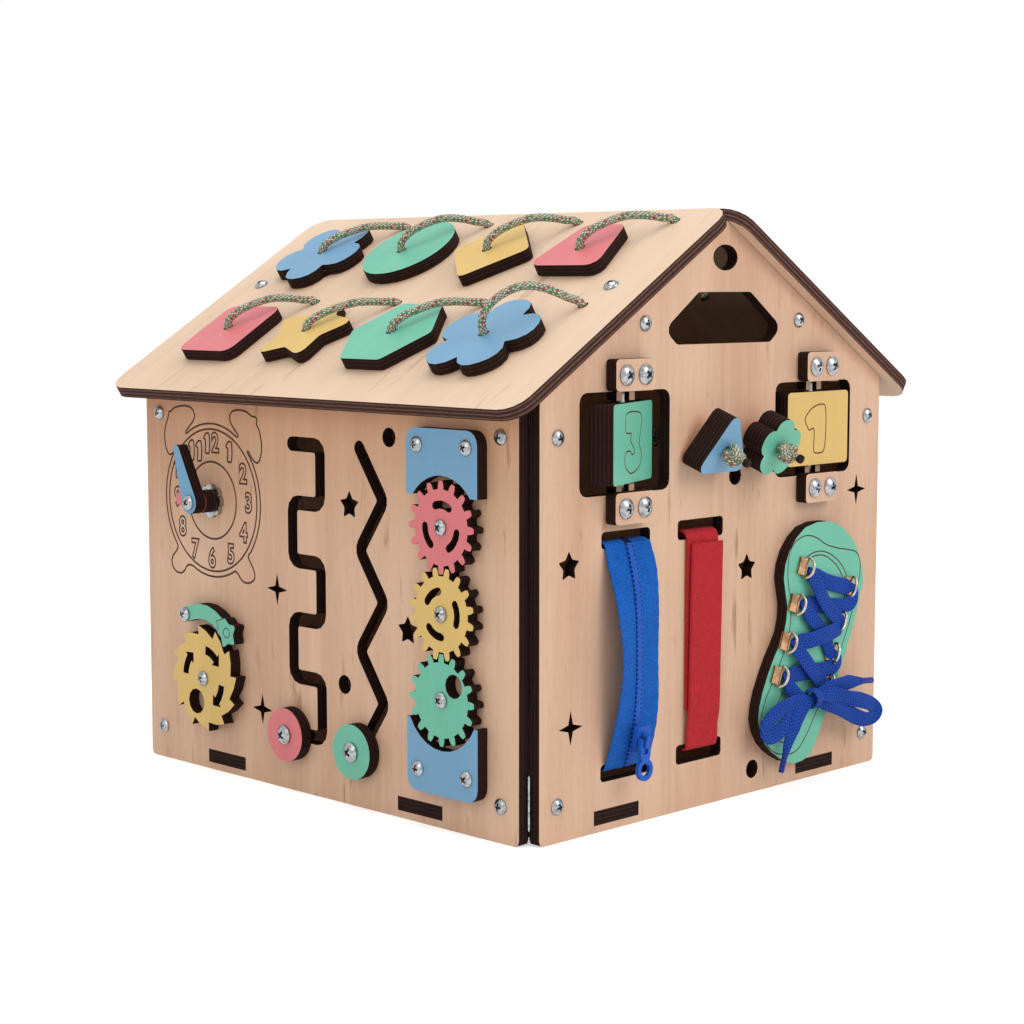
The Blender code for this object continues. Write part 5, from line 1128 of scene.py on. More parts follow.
def split(tree, vector):
    parts = add_node(tree, "ShaderNodeSeparateXYZ", {0: vector})
    return parts.outputs["X"], parts.outputs["Y"]


def hump(tree, value):
    """0 at each whole number, 1 halfway between."""
    return calc(tree, "ABSOLUTE", calc(tree, "SINE", calc(tree, "MULTIPLY", value, math.pi)))


WEAVE, group_in, group_out = new_group(
    "plain_weave", [("Vector", "Vector"), ("Across", "Float"), ("Along", "Float")],
    [("Height", "Float"), ("Shade", "Float")],
)
x, y = split(WEAVE, group_in.outputs["Vector"])
x = calc(WEAVE, "DIVIDE", x, group_in.outputs["Across"])
y = calc(WEAVE, "DIVIDE", y, group_in.outputs["Along"])
cells = calc(WEAVE, "ADD", calc(WEAVE, "FLOOR", x), calc(WEAVE, "FLOOR", y))
over = calc(WEAVE, "PINGPONG", cells, 1.0)
warp, weft = hump(WEAVE, x), hump(WEAVE, y)
lifted = calc(WEAVE, "ADD", calc(WEAVE, "MULTIPLY", over, warp),
              calc(WEAVE, "MULTIPLY", calc(WEAVE, "SUBTRACT", 1.0, over), weft))
WEAVE.links.new(lifted, group_out.inputs["Height"])
# Shade is low in the gaps between threads, where the cloth takes its dark colour: painted shade.
WEAVE.links.new(calc(WEAVE, "MULTIPLY", lifted, calc(WEAVE, "MAXIMUM", warp, weft)), group_out.inputs["Shade"])

KNIT, group_in, group_out = new_group(
    "knit_rows", [("Vector", "Vector"), ("Across", "Float"), ("Along", "Float")],
    [("Height", "Float"), ("Shade", "Float")],
)
x, y = split(KNIT, group_in.outputs["Vector"])
x = calc(KNIT, "DIVIDE", x, group_in.outputs["Across"])
lean = calc(KNIT, "PINGPONG", x, 1.0)
rows = calc(KNIT, "ADD", calc(KNIT, "DIVIDE", y, group_in.outputs["Along"]), lean)
# Shade is low between the rows of stitches: painted shade in the knit's gaps.
stitch = calc(KNIT, "MULTIPLY", hump(KNIT, rows), calc(KNIT, "MULTIPLY_ADD", hump(KNIT, x), 0.45, 0.55))
KNIT.links.new(calc(KNIT, "POWER", stitch, 0.5), group_out.inputs["Height"])
KNIT.links.new(stitch, group_out.inputs["Shade"])

STRANDS, LEAD = 8, 18.0 * MM
BRAID, group_in, group_out = new_group(
    "rope_braid", [("Vector", "Vector")],
    [("Height", "Float"), ("Pale", "Float"), ("Green", "Float"), ("Red", "Float")],
)
x, y = split(BRAID, group_in.outputs["Vector"])
climb = calc(BRAID, "DIVIDE", y, LEAD)
p = calc(BRAID, "MULTIPLY", calc(BRAID, "ADD", x, climb), STRANDS)
q = calc(BRAID, "MULTIPLY", calc(BRAID, "SUBTRACT", x, climb), STRANDS)
diamond = calc(BRAID, "MULTIPLY", hump(BRAID, p), hump(BRAID, q))
p_strand, q_strand = calc(BRAID, "FLOOR", p), calc(BRAID, "FLOOR", q)
cell = add_node(BRAID, "ShaderNodeCombineXYZ", {0: p_strand, 1: q_strand}).outputs[0]
chance = add_node(BRAID, "ShaderNodeTexWhiteNoise", {"Vector": cell}, noise_dimensions="2D").outputs["Value"]
fine = add_node(BRAID, "ShaderNodeCombineXYZ", {
    0: calc(BRAID, "MULTIPLY", x, 3.4), 1: calc(BRAID, "MULTIPLY", y, 240)}).outputs[0]
specks = stretched_noise(BRAID, fine, (4, 4, 1), 2)
# Pale falls to nothing between the strands: painted shade in the braid's grooves; the fine specks are the rope's own
# dark flecks.
pale = calc(BRAID, "MULTIPLY", diamond, calc(BRAID, "MULTIPLY_ADD", chance, 0.6, 0.75))
pale = calc(BRAID, "MULTIPLY", pale, ramp_between(BRAID, specks, 0.30, 0.50))
BRAID.links.new(calc(BRAID, "POWER", diamond, 0.6), group_out.inputs["Height"])
BRAID.links.new(pale, group_out.inputs["Pale"])
for strand, mark, colour, low, high in (
    (p_strand, 1.0, "Green", 0.86, 1.0), (q_strand, 6.0, "Red", 0.0, 0.05),
):
    here = calc(BRAID, "COMPARE", calc(BRAID, "FLOORED_MODULO", strand, float(STRANDS)), mark, 0.1)
    spread = (high - low) / 2
    stray = calc(BRAID, "COMPARE", chance, low + spread, spread)
    here = calc(BRAID, "MAXIMUM", here, stray)
    above = calc(BRAID, "COMPARE", calc(BRAID, "FLOORED_MODULO", calc(
        BRAID, "ADD", p_strand, q_strand), 2.0), 0.0, 0.1)
    seen = calc(BRAID, "MULTIPLY", here, above)
    BRAID.links.new(calc(BRAID, "MULTIPLY", seen, ramp_between(BRAID, diamond, 0.15, 0.3)), group_out.inputs[colour])


def cloth(name, group, across, along, light, dark, fuzz=0.35, deep=0.0003, painted_shade_under_teeth=None):
    """A woven or knitted finish with a fuzz of loose fibres."""
    material, tree, shader = new_material(name)
    uv = uv_of(tree)
    pattern = use_group(tree, group, {"Vector": uv, "Across": across, "Along": along})
    position = add_node(tree, "ShaderNodeTexCoord").outputs["Object"]
    fibres = ramp_between(tree, stretched_noise(tree, position, (1500, 1500, 1500), 4), 0.25, 0.75)
    patches = stretched_noise(tree, position, (120, 120, 120), 3)
    # The mix of dark and light is partly real, loose fibres and patches of tone, and partly painted shade between
    # the threads from the pattern's Shade.
    shade = calc(tree, "MULTIPLY_ADD", fibres, fuzz, calc(
        tree, "MULTIPLY", pattern.outputs["Shade"], 1 - fuzz))
    shade = calc(tree, "MINIMUM", calc(tree, "MULTIPLY", shade, calc(tree, "MULTIPLY_ADD", patches, 0.5, 0.75)), 1.0)
    colour = mix_colour(tree, shade, dark, light)
    # Painted shade between the teeth: along the tape's middle, under the chain, the colour turns a near-black blue.
    if painted_shade_under_teeth:
        across_middle = calc(tree, "ABSOLUTE", split(tree, uv)[0])
        middle = ramp_between(tree, across_middle, 2.9 * MM, 2.4 * MM)
        colour = mix_colour(tree, middle, colour, painted_shade_under_teeth)
    tree.links.new(colour, shader.inputs["Base Color"])
    height = calc(tree, "MULTIPLY_ADD", fibres, fuzz, pattern.outputs["Height"])
    tree.links.new(bump(tree, height, 0.7, deep), shader.inputs["Normal"])
    shader.inputs["Roughness"].default_value = 0.9
    shader.inputs["Specular IOR Level"].default_value = 0.2
    shader.inputs["Sheen Weight"].default_value = 0.03
    shader.inputs["Sheen Roughness"].default_value = 0.5
    return material


# The tape's last colour is the painted shade under the zip's teeth.
TAPE_BLUE = cloth("zip_tape_weave", WEAVE, 0.9 * MM, 1.1 * MM, rgb(22, 122, 226), rgb(0, 44, 126), 0.6, painted_shade_under_teeth=rgb(3, 30, 88))
STRAP_RED = cloth("hook_strap_pile", WEAVE, 0.7 * MM, 0.7 * MM, rgb(224, 52, 62), rgb(150, 14, 26), 0.6)
LACE_BLUE = cloth("lace_knit", KNIT, 1.55 * MM, 2.3 * MM, rgb(32, 88, 196), rgb(1, 12, 84), 0.12, 0.0006)

ROPE, tree, shader = new_material("braided_rope")
braid = use_group(tree, BRAID, {"Vector": uv_of(tree)})
# The dark olive is the colour between the strands: painted shade in the grooves.
colour = mix_colour(tree, braid.outputs["Pale"], rgb(82, 86, 64), rgb(230, 224, 200))
colour = mix_colour(tree, braid.outputs["Green"], colour, rgb(24, 140, 92))
colour = mix_colour(tree, braid.outputs["Red"], colour, rgb(178, 36, 44))
tree.links.new(colour, shader.inputs["Base Color"])
tree.links.new(bump(tree, braid.outputs["Height"], 0.6, 0.0003), shader.inputs["Normal"])
shader.inputs["Roughness"].default_value = 0.8
shader.inputs["Sheen Weight"].default_value = 0.2
SINGED, tree, shader = new_material("singed_end")
position = add_node(tree, "ShaderNodeTexCoord").outputs["Object"]
melt = stretched_noise(tree, position, (700, 700, 700), 3)
tree.links.new(mix_colour(tree, melt, rgb(12, 9, 7), rgb(44, 32, 22)), shader.inputs["Base Color"])
tree.links.new(bump(tree, melt, 0.5, 0.0004), shader.inputs["Normal"])
shader.inputs["Roughness"].default_value = 0.75
shader.inputs["Specular IOR Level"].default_value = 0.15
print("cloth finishes:", TAPE_BLUE.name, STRAP_RED.name, LACE_BLUE.name, ROPE.name)

# %% [markdown]
# ## Ropes
# Each rope is 4.2 mm braided cord. A knot holds it on the hidden side, its arc stands up by the
# rope's own stiffness, and its cut end is melted so that it can't fray. The braid's diamonds
# are in the tube's own surface, and the material only colours them. The knot is one closed
# turn of a trefoil, which is what an overhand knot looks like when it is pulled tight.
# %% Rope and knot
ROPE_RADIUS = 2.1 * MM
KNOT = 9.5 * MM
TAIL = 4.5 * MM
ROPE_SIDES = 40


def braided(radius):
    """A round section whose surface rises in the braid's diamonds."""
    def section(index, distance):
        corners = []
        for k in range(ROPE_SIDES):
            across = k / ROPE_SIDES
            p = STRANDS * (across + distance / LEAD)
            q = STRANDS * (across - distance / LEAD)
            rise = abs(math.sin(math.pi * p)) * abs(math.sin(math.pi * q))
            reach = radius * (0.95 + 0.09 * rise)
            turn = 2 * math.pi * across
            corners.append((reach * math.cos(turn), reach * math.sin(turn), across))
        return corners
    return section


def knot_turns():
    """The closed line of a tight overhand knot round the z axis."""
    points = []
    for k in range(49):
        t = 2 * math.pi * k / 48
        points.append(Vector((
            1.28 * (math.sin(t) + 2 * math.sin(2 * t)) * MM, 1.28 * (math.cos(t) - 2 * math.cos(2 * t)) * MM,
            -2.5 * math.sin(3 * t) * MM)))
    return points


knot_line, _ = even_route(knot_turns(), 0.5 * MM)
knot_pattern = swept("knot_pattern", carried_frames(knot_line, Vector((1, 0, 0))), braided(2.15 * MM), 1.0)
end_pattern = rod(2.25 * MM, -1.6 * MM, 0.7 * MM, 24)


def facing_frame(point, way, turn=0.0):
    """A place whose z axis points along a direction."""
    turned = way.to_track_quat("Z", "Y").to_matrix().to_4x4()
    return Matrix.Translation(point) @ turned @ Matrix.Rotation(turn, 4, "Z")


def add_rope(name, route, knots, body):
    """A rope through the route's points, with a knot at each (point, way), and its cut ends."""
    line, length = even_route(route, 0.4 * MM)
    piece = swept(f"{name}_rope_braid", carried_frames(line, Vector((0.3, 1, 0.2))), braided(ROPE_RADIUS), 1.0)
    hand_over(piece, body, ROPE, 0, nodes=(f"{name}_rope",))
    extras = []
    for index, (point, way) in enumerate(knots, 1):
        middle = point + way * 0.5 * KNOT
        knot = copy_at(knot_pattern, f"{name}_knot_{index}", facing_frame(middle, way, 1.3 * len(extras) + length * 900))
        extras.append(hand_over(knot, body, ROPE, 0))
        tip = point + way * (KNOT + TAIL)
        end = copy_at(end_pattern, f"{name}_rope_end_{index}", facing_frame(tip, way))
        extras.append(hand_over(end, body, SINGED))
    return length


def knot_and_tail(start, way):
    """The points of a straight run through a knot and on to the cut end."""
    return [start + way * share for share in (0, 0.2 * KNOT, 0.8 * KNOT, KNOT, KNOT + TAIL)]


# %% [markdown]
# ## Ropes of the roof shapes
# A roof shape sits in its place with a plug, and its rope runs from under the roof through
# plug and shape, arches over and goes back in at a hole beside it.
# %% Roof ropes
ARCHES = (
    ("cloud", 10.6), ("circle", 15.0), ("diamond", 13.6), ("trapezoid", 13.4),
    ("square", 13.0), ("star", 10.6), ("hexagon", 11.4), ("blossom", 22.0),
)
OUTWARD = Vector((0, 0, 1))
for index, (name, arch) in enumerate(ARCHES):
    place = at(LEFT_ROOF, -103.8 + 67.5 * (index % 4), -48.9 if index < 4 else -129.2)
    under = Vector((0, 0, -6.5)) * MM
    leave, enter, inner = (Vector(p) * MM for p in ((0, 0, 6.8), (33.75, 36.7, 0.3), (33.75, 36.7, -32)))
    route = knot_and_tail(under, -OUTWARD)[::-1]
    for i in range(9):
        turn = math.pi * i / 8
        rise = (arch - 3.55) * math.sin(turn) * MM
        progress = (1 - math.cos(turn)) / 2 if i < 4 else i / 8
        route.append(leave.lerp(enter, progress) + OUTWARD * rise)
    route += knot_and_tail(inner, -OUTWARD)
    turned = place.to_3x3()
    knots = [(place @ under, turned @ -OUTWARD), (place @ inner, turned @ -OUTWARD)]
    length = add_rope(name, [place @ point for point in route], knots, body_of(f"{name}_shape"))
    print(f"{name} rope: {length * 1000:.0f} mm")

# %% [markdown]
# ## Ropes of the knobs
# The triangle and the flower hang on short ropes that come straight out of the gable, droop
# under the knob's weight and end in a fat knot in front of it.
# %% Knob ropes
DROOP = math.radians(20)
KNOB_THICK = 13.0 * MM
for name, u, low in (("triangle", -17.8, 11.25), ("flower", 24.0, 14.48)):
    out = (low * math.sin(DROOP) + 0.5) * MM
    bend = 0.3 * MM + ROPE_RADIUS * math.tan(DROOP / 2)
    drop = (out - bend) * math.tan(DROOP)
    hole = at(FRONT, u, 189.3)
    hang = Matrix.Translation((0, -drop, out)) @ Matrix.Rotation(DROOP, 4, "X")
    front = hang @ Vector((0, 0, KNOB_THICK + 0.3 * MM))
    ahead = hang.to_3x3() @ OUTWARD
    back = Vector((0, 0, -27.0)) * MM
    route = knot_and_tail(back, -OUTWARD)[::-1]
    route += [Vector((0, 0, bend)), hang.translation] + knot_and_tail(front, ahead)
    turned = hole.to_3x3()
    knots = [(hole @ back, turned @ -OUTWARD), (hole @ front, turned @ ahead)]
    length = add_rope(name, [hole @ point for point in route], knots, body_of(f"{name}_knob"))
    print(f"{name} rope: {length * 1000:.0f} mm")

# %% [markdown]
# ## Shoe lace
# The lace is one flat knitted band, 8 mm wide and about 1.4 mm thick. It crosses from loop to
# loop, bunches where it goes through a loop and ends in a bow: a knot, two loops and two tails
# with sealed tips. The knot is a short turn of the same band round the crossing.
# %% Lace
LACE_ROUTE = (
    (115.0, 49.9, 12.5), (104.5, 51.0, 13.2), (94.3, 51.9, 13.8), (83.4, 52.1, 14.2), (74.0, 51.4, 14.4),
    (65.0, 49.6, 14.4), (58.4, 48.0, 14.0), (50.7, 47.5, 13.6), (41.4, 46.7, 13.2), (32.2, 44.2, 12.6),
    (25.0, 39.6, 12.0), (22.8, 35.1, 11.6), (26.1, 31.6, 11.6), (32.4, 32.5, 12.0), (39.6, 37.0, 12.4),
    (47.0, 41.2, 12.6), (54.7, 44.7, 12.4), (61.1, 46.9, 12.0), (70.5, 48.0, 10.6), (80.2, 49.1, 9.4),
    (84.6, 50.5, 8.8), (79.3, 50.4, 9.0), (70.9, 55.4, 10.2), (62.6, 62.1, 11.2), (55.9, 68.9, 11.2),
    (51.0, 74.6, 10.0), (48.0, 78.2, 8.8), (54.0, 78.4, 9.4), (61.4, 78.2, 10.6), (70.0, 79.5, 11.6),
    (79.9, 80.7, 11.0), (88.9, 82.3, 9.6), (94.4, 84.3, 8.8), (87.4, 87.1, 9.4), (78.8, 92.2, 10.8),
    (71.9, 98.5, 11.6), (67.4, 104.5, 11.6), (64.8, 110.5, 10.4), (61.5, 116.1, 8.8), (68.3, 112.1, 8.5),
    (76.6, 108.4, 8.4), (87.8, 105.2, 8.4), (96.9, 103.1, 8.6), (103.3, 101.8, 8.8), (101.2, 95.9, 9.4),
    (93.9, 93.5, 9.0), (85.1, 94.0, 8.4), (74.0, 95.4, 8.3), (63.8, 97.2, 8.4), (55.4, 98.0, 8.8),
    (61.0, 92.4, 9.4), (68.0, 86.6, 9.2), (75.4, 79.9, 8.3), (79.6, 73.2, 8.3), (82.4, 68.6, 8.6),
    (88.7, 67.0, 8.8), (87.5, 62.2, 9.2), (79.5, 60.3, 8.6), (68.8, 60.4, 8.3), (58.8, 60.8, 8.3),
    (49.1, 61.2, 8.5), (41.4, 61.2, 8.8), (44.0, 56.4, 9.2), (48.6, 52.0, 10.0), (53.1, 48.7, 11.4),
    (60.3, 46.9, 12.6), (68.2, 44.6, 13.4), (79.7, 40.7, 13.6), (92.9, 34.8, 13.6), (106.1, 29.6, 13.6),
    (114.6, 29.6, 13.6), (117.4, 32.7, 13.8), (112.0, 37.2, 14.6), (101.8, 40.9, 15.4), (88.7, 44.2, 15.6),
    (76.1, 47.4, 15.6), (66.0, 48.4, 15.4), (58.2, 47.5, 14.8), (51.3, 43.2, 14.4), (46.0, 37.8, 14.0),
    (42.7, 31.5, 13.4), (40.1, 25.1, 12.8), (38.3, 18.6, 12.2), (36.3, 11.1, 11.6),
)
LACE_WIDTH, LACE_THICK = 8.7 * MM, 1.5 * MM
LOOP_SPOTS = (
    (61.6, 116.4), (54.6, 97.4), (47.3, 77.8), (40.4, 60.6),
    (103.3, 101.8), (94.4, 84.3), (88.7, 67.0), (84.6, 50.5),
)
BOW_KNOT = Vector((59.6, 47.6, 13.6)) * MM
lace_line, lace_length = even_route([Vector(p) * MM for p in LACE_ROUTE], 0.8 * MM)


def lace_facing(index):
    """Flat on the shoe, but turned a little sideways where the bow stands off it."""
    lift = min(max((lace_line[index].z - 0.0112) / 0.0025, 0), 1)
    swing = math.sin(index * 0.11)
    return Vector((-0.45 * lift, 0.35 * lift * swing, 1))


def lace_section(index, distance):
    """Full width in the open, bunched at the loops, at the knot and at the tips."""
    point = lace_line[index]
    near = min(math.hypot(point.x / MM - u, point.y / MM - v) for u, v in LOOP_SPOTS)
    if abs(point.z - 0.0085) > 0.0012:
        near = 99
    full = min(max((near - 1.0) / 7.0, 0), 1)
    tie = min(max(((point - BOW_KNOT).length - 3 * MM) / (11 * MM), 0), 1)
    tip = min(max((min(distance, lace_length - distance) - 9 * MM) / (16 * MM), 0), 1)
    width = LACE_WIDTH * (0.34 + 0.66 * min(full, 0.25 + 0.75 * tie, 0.05 + 0.95 * tip))
    thick = LACE_THICK * (1.0 + 0.35 * (1 - full))
    thick *= 1.0 if tip > 0.5 else 1.3
    return flat_section(width / 2, thick / 2, 5, 0.6)


lace = swept("shoe_lace_band", carried_frames(lace_line, facing=lace_facing), lace_section, LACE_WIDTH)
lace.data.transform(FRONT)
hand_over(lace, body_of("shoe_lace"), LACE_BLUE, 0, nodes=("shoe_lace",))

turns = []
for k in range(33):
    t = 2 * math.pi * k / 32
    turns.append(BOW_KNOT + Vector((1.3 * math.sin(t), 4.6 * math.cos(t), 4.2 * math.sin(t) + 0.2)) * MM)
turn_line, _ = even_route(turns, 0.6 * MM)


def away_from_knot(index):
    return turn_line[index] - BOW_KNOT


tie = swept(
    "lace_knot", carried_frames(turn_line, facing=away_from_knot),
    lambda index, distance: flat_section(4.0 * MM, 0.8 * MM, 5, 0.6), LACE_WIDTH)
tie.data.transform(FRONT)
hand_over(tie, body_of("shoe_lace"), LACE_BLUE, 0)
TIPS, tree, shader = new_material("lace_tip")
position = add_node(tree, "ShaderNodeTexCoord").outputs["Object"]
scuffs = stretched_noise(tree, position, (500, 500, 500), 3)
tree.links.new(mix_colour(tree, scuffs, rgb(14, 28, 104), rgb(30, 54, 152)), shader.inputs["Base Color"])
shader.inputs["Roughness"].default_value = 0.5
shader.inputs["Specular IOR Level"].default_value = 0.25
for name, line in (("upper", lace_line[:18]), ("lower", lace_line[-18:][::-1])):
    way = (line[0] - line[-1]).normalized()
    tip = rod(1.4 * MM, -13 * MM, 0.4 * MM, 20)
    tip.name = tip.data.name = f"lace_tip_{name}"
    tip.data.transform(FRONT @ facing_frame(line[0], way))
    hand_over(tip, body_of("shoe_lace"), TIPS)
print(f"lace: {lace_length * 1000:.0f} mm")

# %% [markdown]
# ## Lace loops
# Each lace loop is a wire bent to a D, held by a clip: a strip of sheet folded round the D's
# straight side and riveted flat on the sole. The left Ds lie half open, and the lace pulls
# the right ones upright. The left clips keep their rivets under the flap.
# %% D-shaped loops
WIRE = 0.75 * MM


def wire_d():
    """The D on z = 0, its straight side along y, its bow towards x."""
    line = drawn([(0, -5.2), (0, 5.2), (3.0, 4.6), (4.9, 0), (3.0, -4.6)])
    points = line.data.splines[0].bezier_points
    points[0].handle_right_type = points[1].handle_left_type = "VECTOR"
    line.data.bevel_depth = WIRE
    line.data.bevel_resolution = 4
    line.data.splines[0].resolution_u = 10
    alone(line)
    bpy.ops.object.convert(target="MESH")
    return bpy.context.object


def clip_strip():
    """The folded strip round the y axis: a flat foot, a fold and a flap on top of the foot."""
    profile = [(-5.6, -0.75), (-1.0, -0.75)]
    profile += [(1.1 * math.sin(t), -1.1 * math.cos(t)) for t in (math.pi * k / 8 for k in range(9))]
    profile += [(-1.6, 0.75), (-3.0, 0.1), (-5.3, -0.05)]
    bpy.ops.mesh.primitive_plane_add(size=1)
    strip = bpy.context.object
    mesh = bmesh.new()
    rows = [[mesh.verts.new((x * MM, y * MM, z * MM)) for y in (-4.6, 4.6)] for x, z in profile]
    for (a, b), (c, d) in zip(rows, rows[1:]):
        mesh.faces.new((a, b, d, c))
    bmesh.ops.recalc_face_normals(mesh, faces=mesh.faces)
    mesh.to_mesh(strip.data)
    mesh.free()
    modifier(strip, "SOLIDIFY", thickness=0.5 * MM, offset=0)
    modifier(strip, "BEVEL", width=0.12 * MM, segments=2, limit_method="ANGLE")
    return strip


d_pattern, clip_pattern = wire_d(), clip_strip()
for index, (u, v) in enumerate(LOOP_SPOTS):
    left = index < 4
    side = "left" if left else "right"
    turn = math.radians(-21.3 if left else -18.3)
    open_angle = math.radians(-74 if left else -104)
    back = 2.2 if left else 3.6
    place = at(FRONT, u - math.cos(turn) * back, v - math.sin(turn) * back, CAP_FACE + 1.15, turn)
    wire = copy_at(d_pattern, f"lace_loop_{side}_{index % 4 + 1}", place @ Matrix.Rotation(open_angle, 4, "Y"))
    hand_over(wire, "house", NICKEL)
    clip = copy_at(clip_pattern, f"lace_clip_{side}_{index % 4 + 1}", place)
    if not left:
        rivet = copy_at(rivet_head, "rivet", place @ Matrix.Translation((-3.9 * MM, 0, -0.2 * MM)))
        clip = joined(clip.name, [clip, rivet])
    # The clip's warm brown is a painted reflection.
    hand_over(clip, "house", CLIP_PAINTED_REFLECTION_METAL)
bpy.data.objects.remove(d_pattern)
bpy.data.objects.remove(clip_pattern)

# %% [markdown]
# ## Zipper
# A zipper is two woven tapes with a row of moulded teeth on each, pulled tight between two
# slots so that it bows out and twists a little. The tape is one band here, with a thicker
# cord under the teeth. A tooth is modelled once, a block with a narrow neck and a round head,
# and copied along the bow, left and right in turn.
# %% Zip tape and teeth
ARC_RADIUS, ARC_V, ARC_W, ARC_HALF = 143.923, 86.15, -132.123, math.radians(22.34)
ZIP_U = -74.1
TAPE_HALF, TAPE_THICK = 16.0 * MM, 0.9 * MM


def swell_at(share, middle, width):
    """A smooth hump, 1 at its middle; share runs from -1 at the foot to 1 at the top."""
    return math.exp(-((share - middle) / width) ** 2)


def zip_twist(share):
    """The band's turn in radians."""
    return math.radians(10) * swell_at(share, -0.02, 0.45) - math.radians(4) * swell_at(share, 0.8, 0.2)


def bow_point(share):
    """The line of the teeth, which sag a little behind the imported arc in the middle."""
    angle = ARC_HALF * share
    v, w = ARC_V + ARC_RADIUS * math.sin(angle), ARC_W + ARC_RADIUS * math.cos(angle)
    return Vector((ZIP_U, v, w - SAG * swell_at(share, 0, 0.62))) * MM


SAG, FOLD = 4.0, 2.2
HIDDEN_END = ((46.0, -8.2), (33.5, -8.2), (30.5, -6.8), (29.86, -2.17))
zip_route = [Vector((ZIP_U, v, w)) * MM for v, w in HIDDEN_END]
zip_route += [bow_point(k / 12) for k in range(-12, 13)]
zip_route += [Vector((ZIP_U, 2 * ARC_V - v, w)) * MM for v, w in reversed(HIDDEN_END)]
zip_line, zip_length = even_route(zip_route, 1.0 * MM)


def share_of(point):
    """Where a point of the bow lies, from -1 to 1, and past that where the band dives in."""
    if point.z < 0:
        return math.copysign(1.01, point.y - ARC_V * MM)
    return math.asin(max(-1, min(1, (point.y / MM - ARC_V) / ARC_RADIUS))) / ARC_HALF


def zip_facing(index):
    point = zip_line[index]
    share = share_of(point)
    outward = Vector((0, point.y - ARC_V * MM, point.z - ARC_W * MM)).normalized()
    if abs(share) > 1:
        ahead = zip_line[min(index + 1, len(zip_line) - 1)] - zip_line[max(index - 1, 0)]
        return Vector((1, 0, 0)).cross(ahead)
    return Matrix.Rotation(zip_twist(share), 3, outward.cross(Vector((1, 0, 0)))) @ outward


def tape_section(index, distance):
    """A flat band with wavy outer edges and a ridge along its middle."""
    wave = 0.25 * MM * math.sin(distance * 900) + 0.15 * MM * math.sin(distance * 2300)
    fold = FOLD * MM * swell_at(share_of(zip_line[index]), -0.05, 0.6)
    steps = 28
    corners = []
    for side in (1, -1):
        for k in range(steps + 1):
            share = (1 - 2 * k / steps) * side
            across = share * TAPE_HALF
            thick = TAPE_THICK / 2 * (1 - abs(share) ** 12 * 0.5)
            ridge = 0.55 * MM * math.exp(-((abs(across) - 2.4 * MM) / (1.0 * MM)) ** 2)
            swell = wave * max(abs(share) - 0.6, 0)
            corners.append((across, side * (thick + ridge) + swell + fold * abs(share) ** 1.3, across))
    return corners


tape = swept("zip_tape_band", carried_frames(zip_line, facing=zip_facing), tape_section, TAPE_HALF)
tape.data.transform(FRONT)
hand_over(tape, body_of("zip_tape"), TAPE_BLUE, 0, nodes=("zip_tape",))
print(f"zip tape: {zip_length * 1000:.0f} mm long, {len(tape.data.polygons)} faces")


def enamel(name, light, dark, roughness):
    """A smooth moulded or lacquered finish with a faint unevenness."""
    material, tree, shader = new_material(name)
    position = add_node(tree, "ShaderNodeTexCoord").outputs["Object"]
    patches = stretched_noise(tree, position, (300, 300, 300), 4)
    tree.links.new(mix_colour(tree, patches, dark, light), shader.inputs["Base Color"])
    tree.links.new(calc(tree, "MULTIPLY_ADD", patches, 0.2, roughness), shader.inputs["Roughness"])
    tree.links.new(bump(tree, stretched_noise(tree, position, (1400, 1400, 1400), 2), 0.15, 0.0001),
                   shader.inputs["Normal"])
    shader.inputs["Specular IOR Level"].default_value = 0.3
    return material


ZIP_BLUE = enamel("zip_enamel", rgb(22, 102, 204), rgb(6, 66, 164), 0.42)
for node in ("zip_slider", "zip_pull"):
    dress(node, ZIP_BLUE)


def zip_tooth():
    """One tooth on z = 0, its neck towards +x and its round head past the middle."""
    bpy.ops.mesh.primitive_cube_add(size=1, location=(1.2 * MM, 0, 0))
    tooth = bpy.context.object
    tooth.scale = (2.8 * MM, 1.0 * MM, 3.7 * MM)
    bpy.ops.object.transform_apply()
    bpy.ops.object.mode_set(mode="EDIT")
    pick(tooth, lambda middle, normal: normal.x < -0.9)
    bpy.ops.mesh.extrude_region_move(TRANSFORM_OT_translate={"value": (-0.5 * MM, 0, 0)})
    bpy.ops.transform.resize(value=(1, 1.75, 1))
    bpy.ops.mesh.extrude_region_move(TRANSFORM_OT_translate={"value": (-0.9 * MM, 0, 0)})
    bpy.ops.transform.resize(value=(1, 0.75, 0.85))
    bpy.ops.object.mode_set(mode="OBJECT")
    modifier(tooth, "BEVEL", width=0.18 * MM, segments=1)
    return tooth


TOOTH_PITCH = 1.15 * MM
pattern = zip_tooth()
teeth = []
count = round(2 * ARC_HALF * ARC_RADIUS * MM / TOOTH_PITCH)
for index in range(count):
    share = (2 * index - count + 1) / count
    point = bow_point(share)
    outward = Vector((0, point.y - ARC_V * MM, point.z - ARC_W * MM)).normalized()
    along = outward.cross(Vector((1, 0, 0)))
    outward = Matrix.Rotation(zip_twist(share), 3, along) @ outward
    side = (1 if index % 2 else -1) * along.cross(outward)
    frame_of_tooth = Matrix((side, outward.cross(side), outward)).transposed().to_4x4()
    teeth.append(copy_at(pattern, "tooth", Matrix.Translation(point) @ frame_of_tooth))
bpy.data.objects.remove(pattern)
chain = joined("zip_chain", teeth)
chain.data.transform(FRONT)
hand_over(chain, body_of("zip_tape"), ZIP_BLUE)
print(f"zip teeth: {count}, {len(chain.data.polygons)} faces")

# %% [markdown]
# ## Hook-and-loop strap
# Two straps of one width lie over each other. The loop half hangs from the top slot and has a
# felt of fine loops on it, the hook half comes out of the foot slot and lies on top. Both are
# cut bands, 25 mm wide, with a slightly frayed edge and a soft wave in their length.
# %% Strap halves
STRAP_HALF, STRAP_THICK, STRAP_U = 12.5 * MM, 1.5 * MM, -17.7


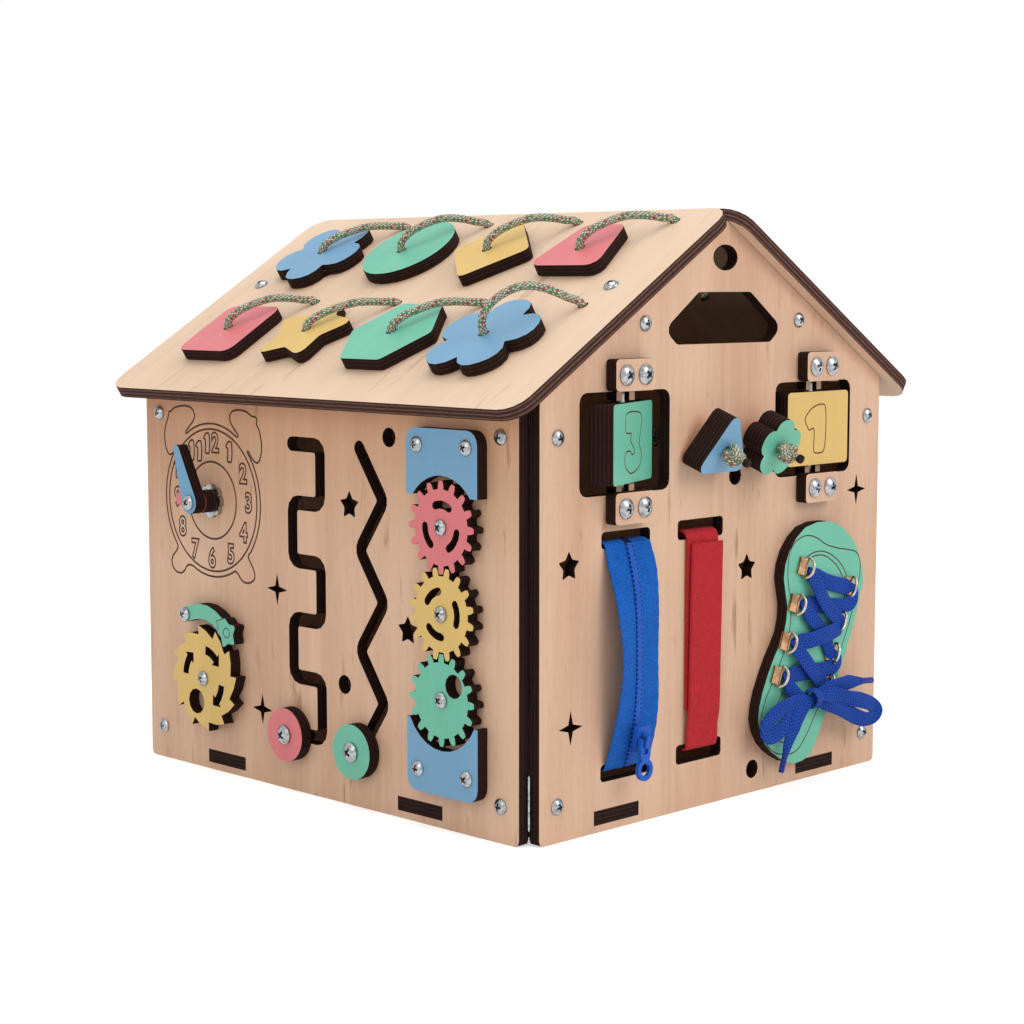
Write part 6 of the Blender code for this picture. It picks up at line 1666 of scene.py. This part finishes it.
def strap_section(seed):
    """A thick soft band whose edge wanders and whose face is a little uneven."""
    def section(index, distance):
        steps = 20
        corners = []
        for side in (1, -1):
            for k in range(steps + 1):
                share = (1 - 2 * k / steps) * side
                fray = 0.12 * MM * noise.noise(Vector((seed, distance * 700, side * 3)))
                across = share * (STRAP_HALF - 0.3 * MM) + fray * abs(share)
                swell = 0.10 * MM * noise.noise(Vector((across * 260, distance * 260, seed)))
                thick = STRAP_THICK / 2 * (1 - 0.45 * abs(share) ** 14)
                corners.append((across, side * thick + swell * side, across))
        return corners
    return section


for name, profile in (
    ("loop", ((124, -8.4), (138.5, -8.4), (142.3, -6.4), (142.6, -1.0), (139.3, 1.1), (120, 1.1), (86, 1.1), (52, 1.1))),
    ("hook", ((31, -1.5), (32.3, 1.4), (43, 2.1), (50.9, 3.1), (70, 3.1), (104, 3.1), (137, 3.1))),
):
    shift = 0.018 if name == "hook" else 0
    route = [Vector((STRAP_U + shift * (v - profile[0][0]), v, w)) * MM for v, w in profile]
    line, length = even_route(route, 0.8 * MM)
    turned_up = Vector((0, -0.2, 1 if name == "hook" else -1))
    strap = swept(f"{name}_strap_band", carried_frames(line, turned_up), strap_section(len(name) + line[0].y), STRAP_HALF)
    strap.data.transform(FRONT)
    hand_over(strap, body_of(f"{name}_strap"), STRAP_RED, 0, nodes=(f"{name}_strap",))
    print(f"{name} strap: {length * 1000:.0f} mm long")

# %% [markdown]
# ## Corner hinges
# In each corner notch the knuckles of a small butt hinge show between gable and wall. One
# knuckle is a short turned barrel, and three stand over each other on a pin.
# %% Hinge knuckles
KNUCKLE_RADIUS = 0.8 * MM


def hinge_barrel():
    """Three knuckles and the pin's two heads, along z."""
    parts = [rod(KNUCKLE_RADIUS, low * MM, (low + 8.3) * MM, 24) for low in (0, 8.8, 17.6)]
    parts += [rod(0.5 * MM, -0.6 * MM, 26.5 * MM, 16)]
    return joined("hinge", parts)


pattern = hinge_barrel()
for gable, side in (("front", -1), ("rear", 1)):
    for wall, across in (("left", -1), ("right", 1)):
        for level, height in (("lower", 8),):
            place = Matrix.Translation(Vector((across * 136.0, side * 148.7 + 8, height)) * MM)
            piece = copy_at(pattern, f"{gable}_{wall}_hinge_{level}", place)
            hand_over(piece, "house", ZINC)
bpy.data.objects.remove(pattern)

# %% [markdown]
# ## Finish
# The patterns have been copied and go.
# %% Close the scene
for pattern in (small_head, large_head, rivet_head, knot_pattern, end_pattern):
    bpy.data.objects.remove(pattern)
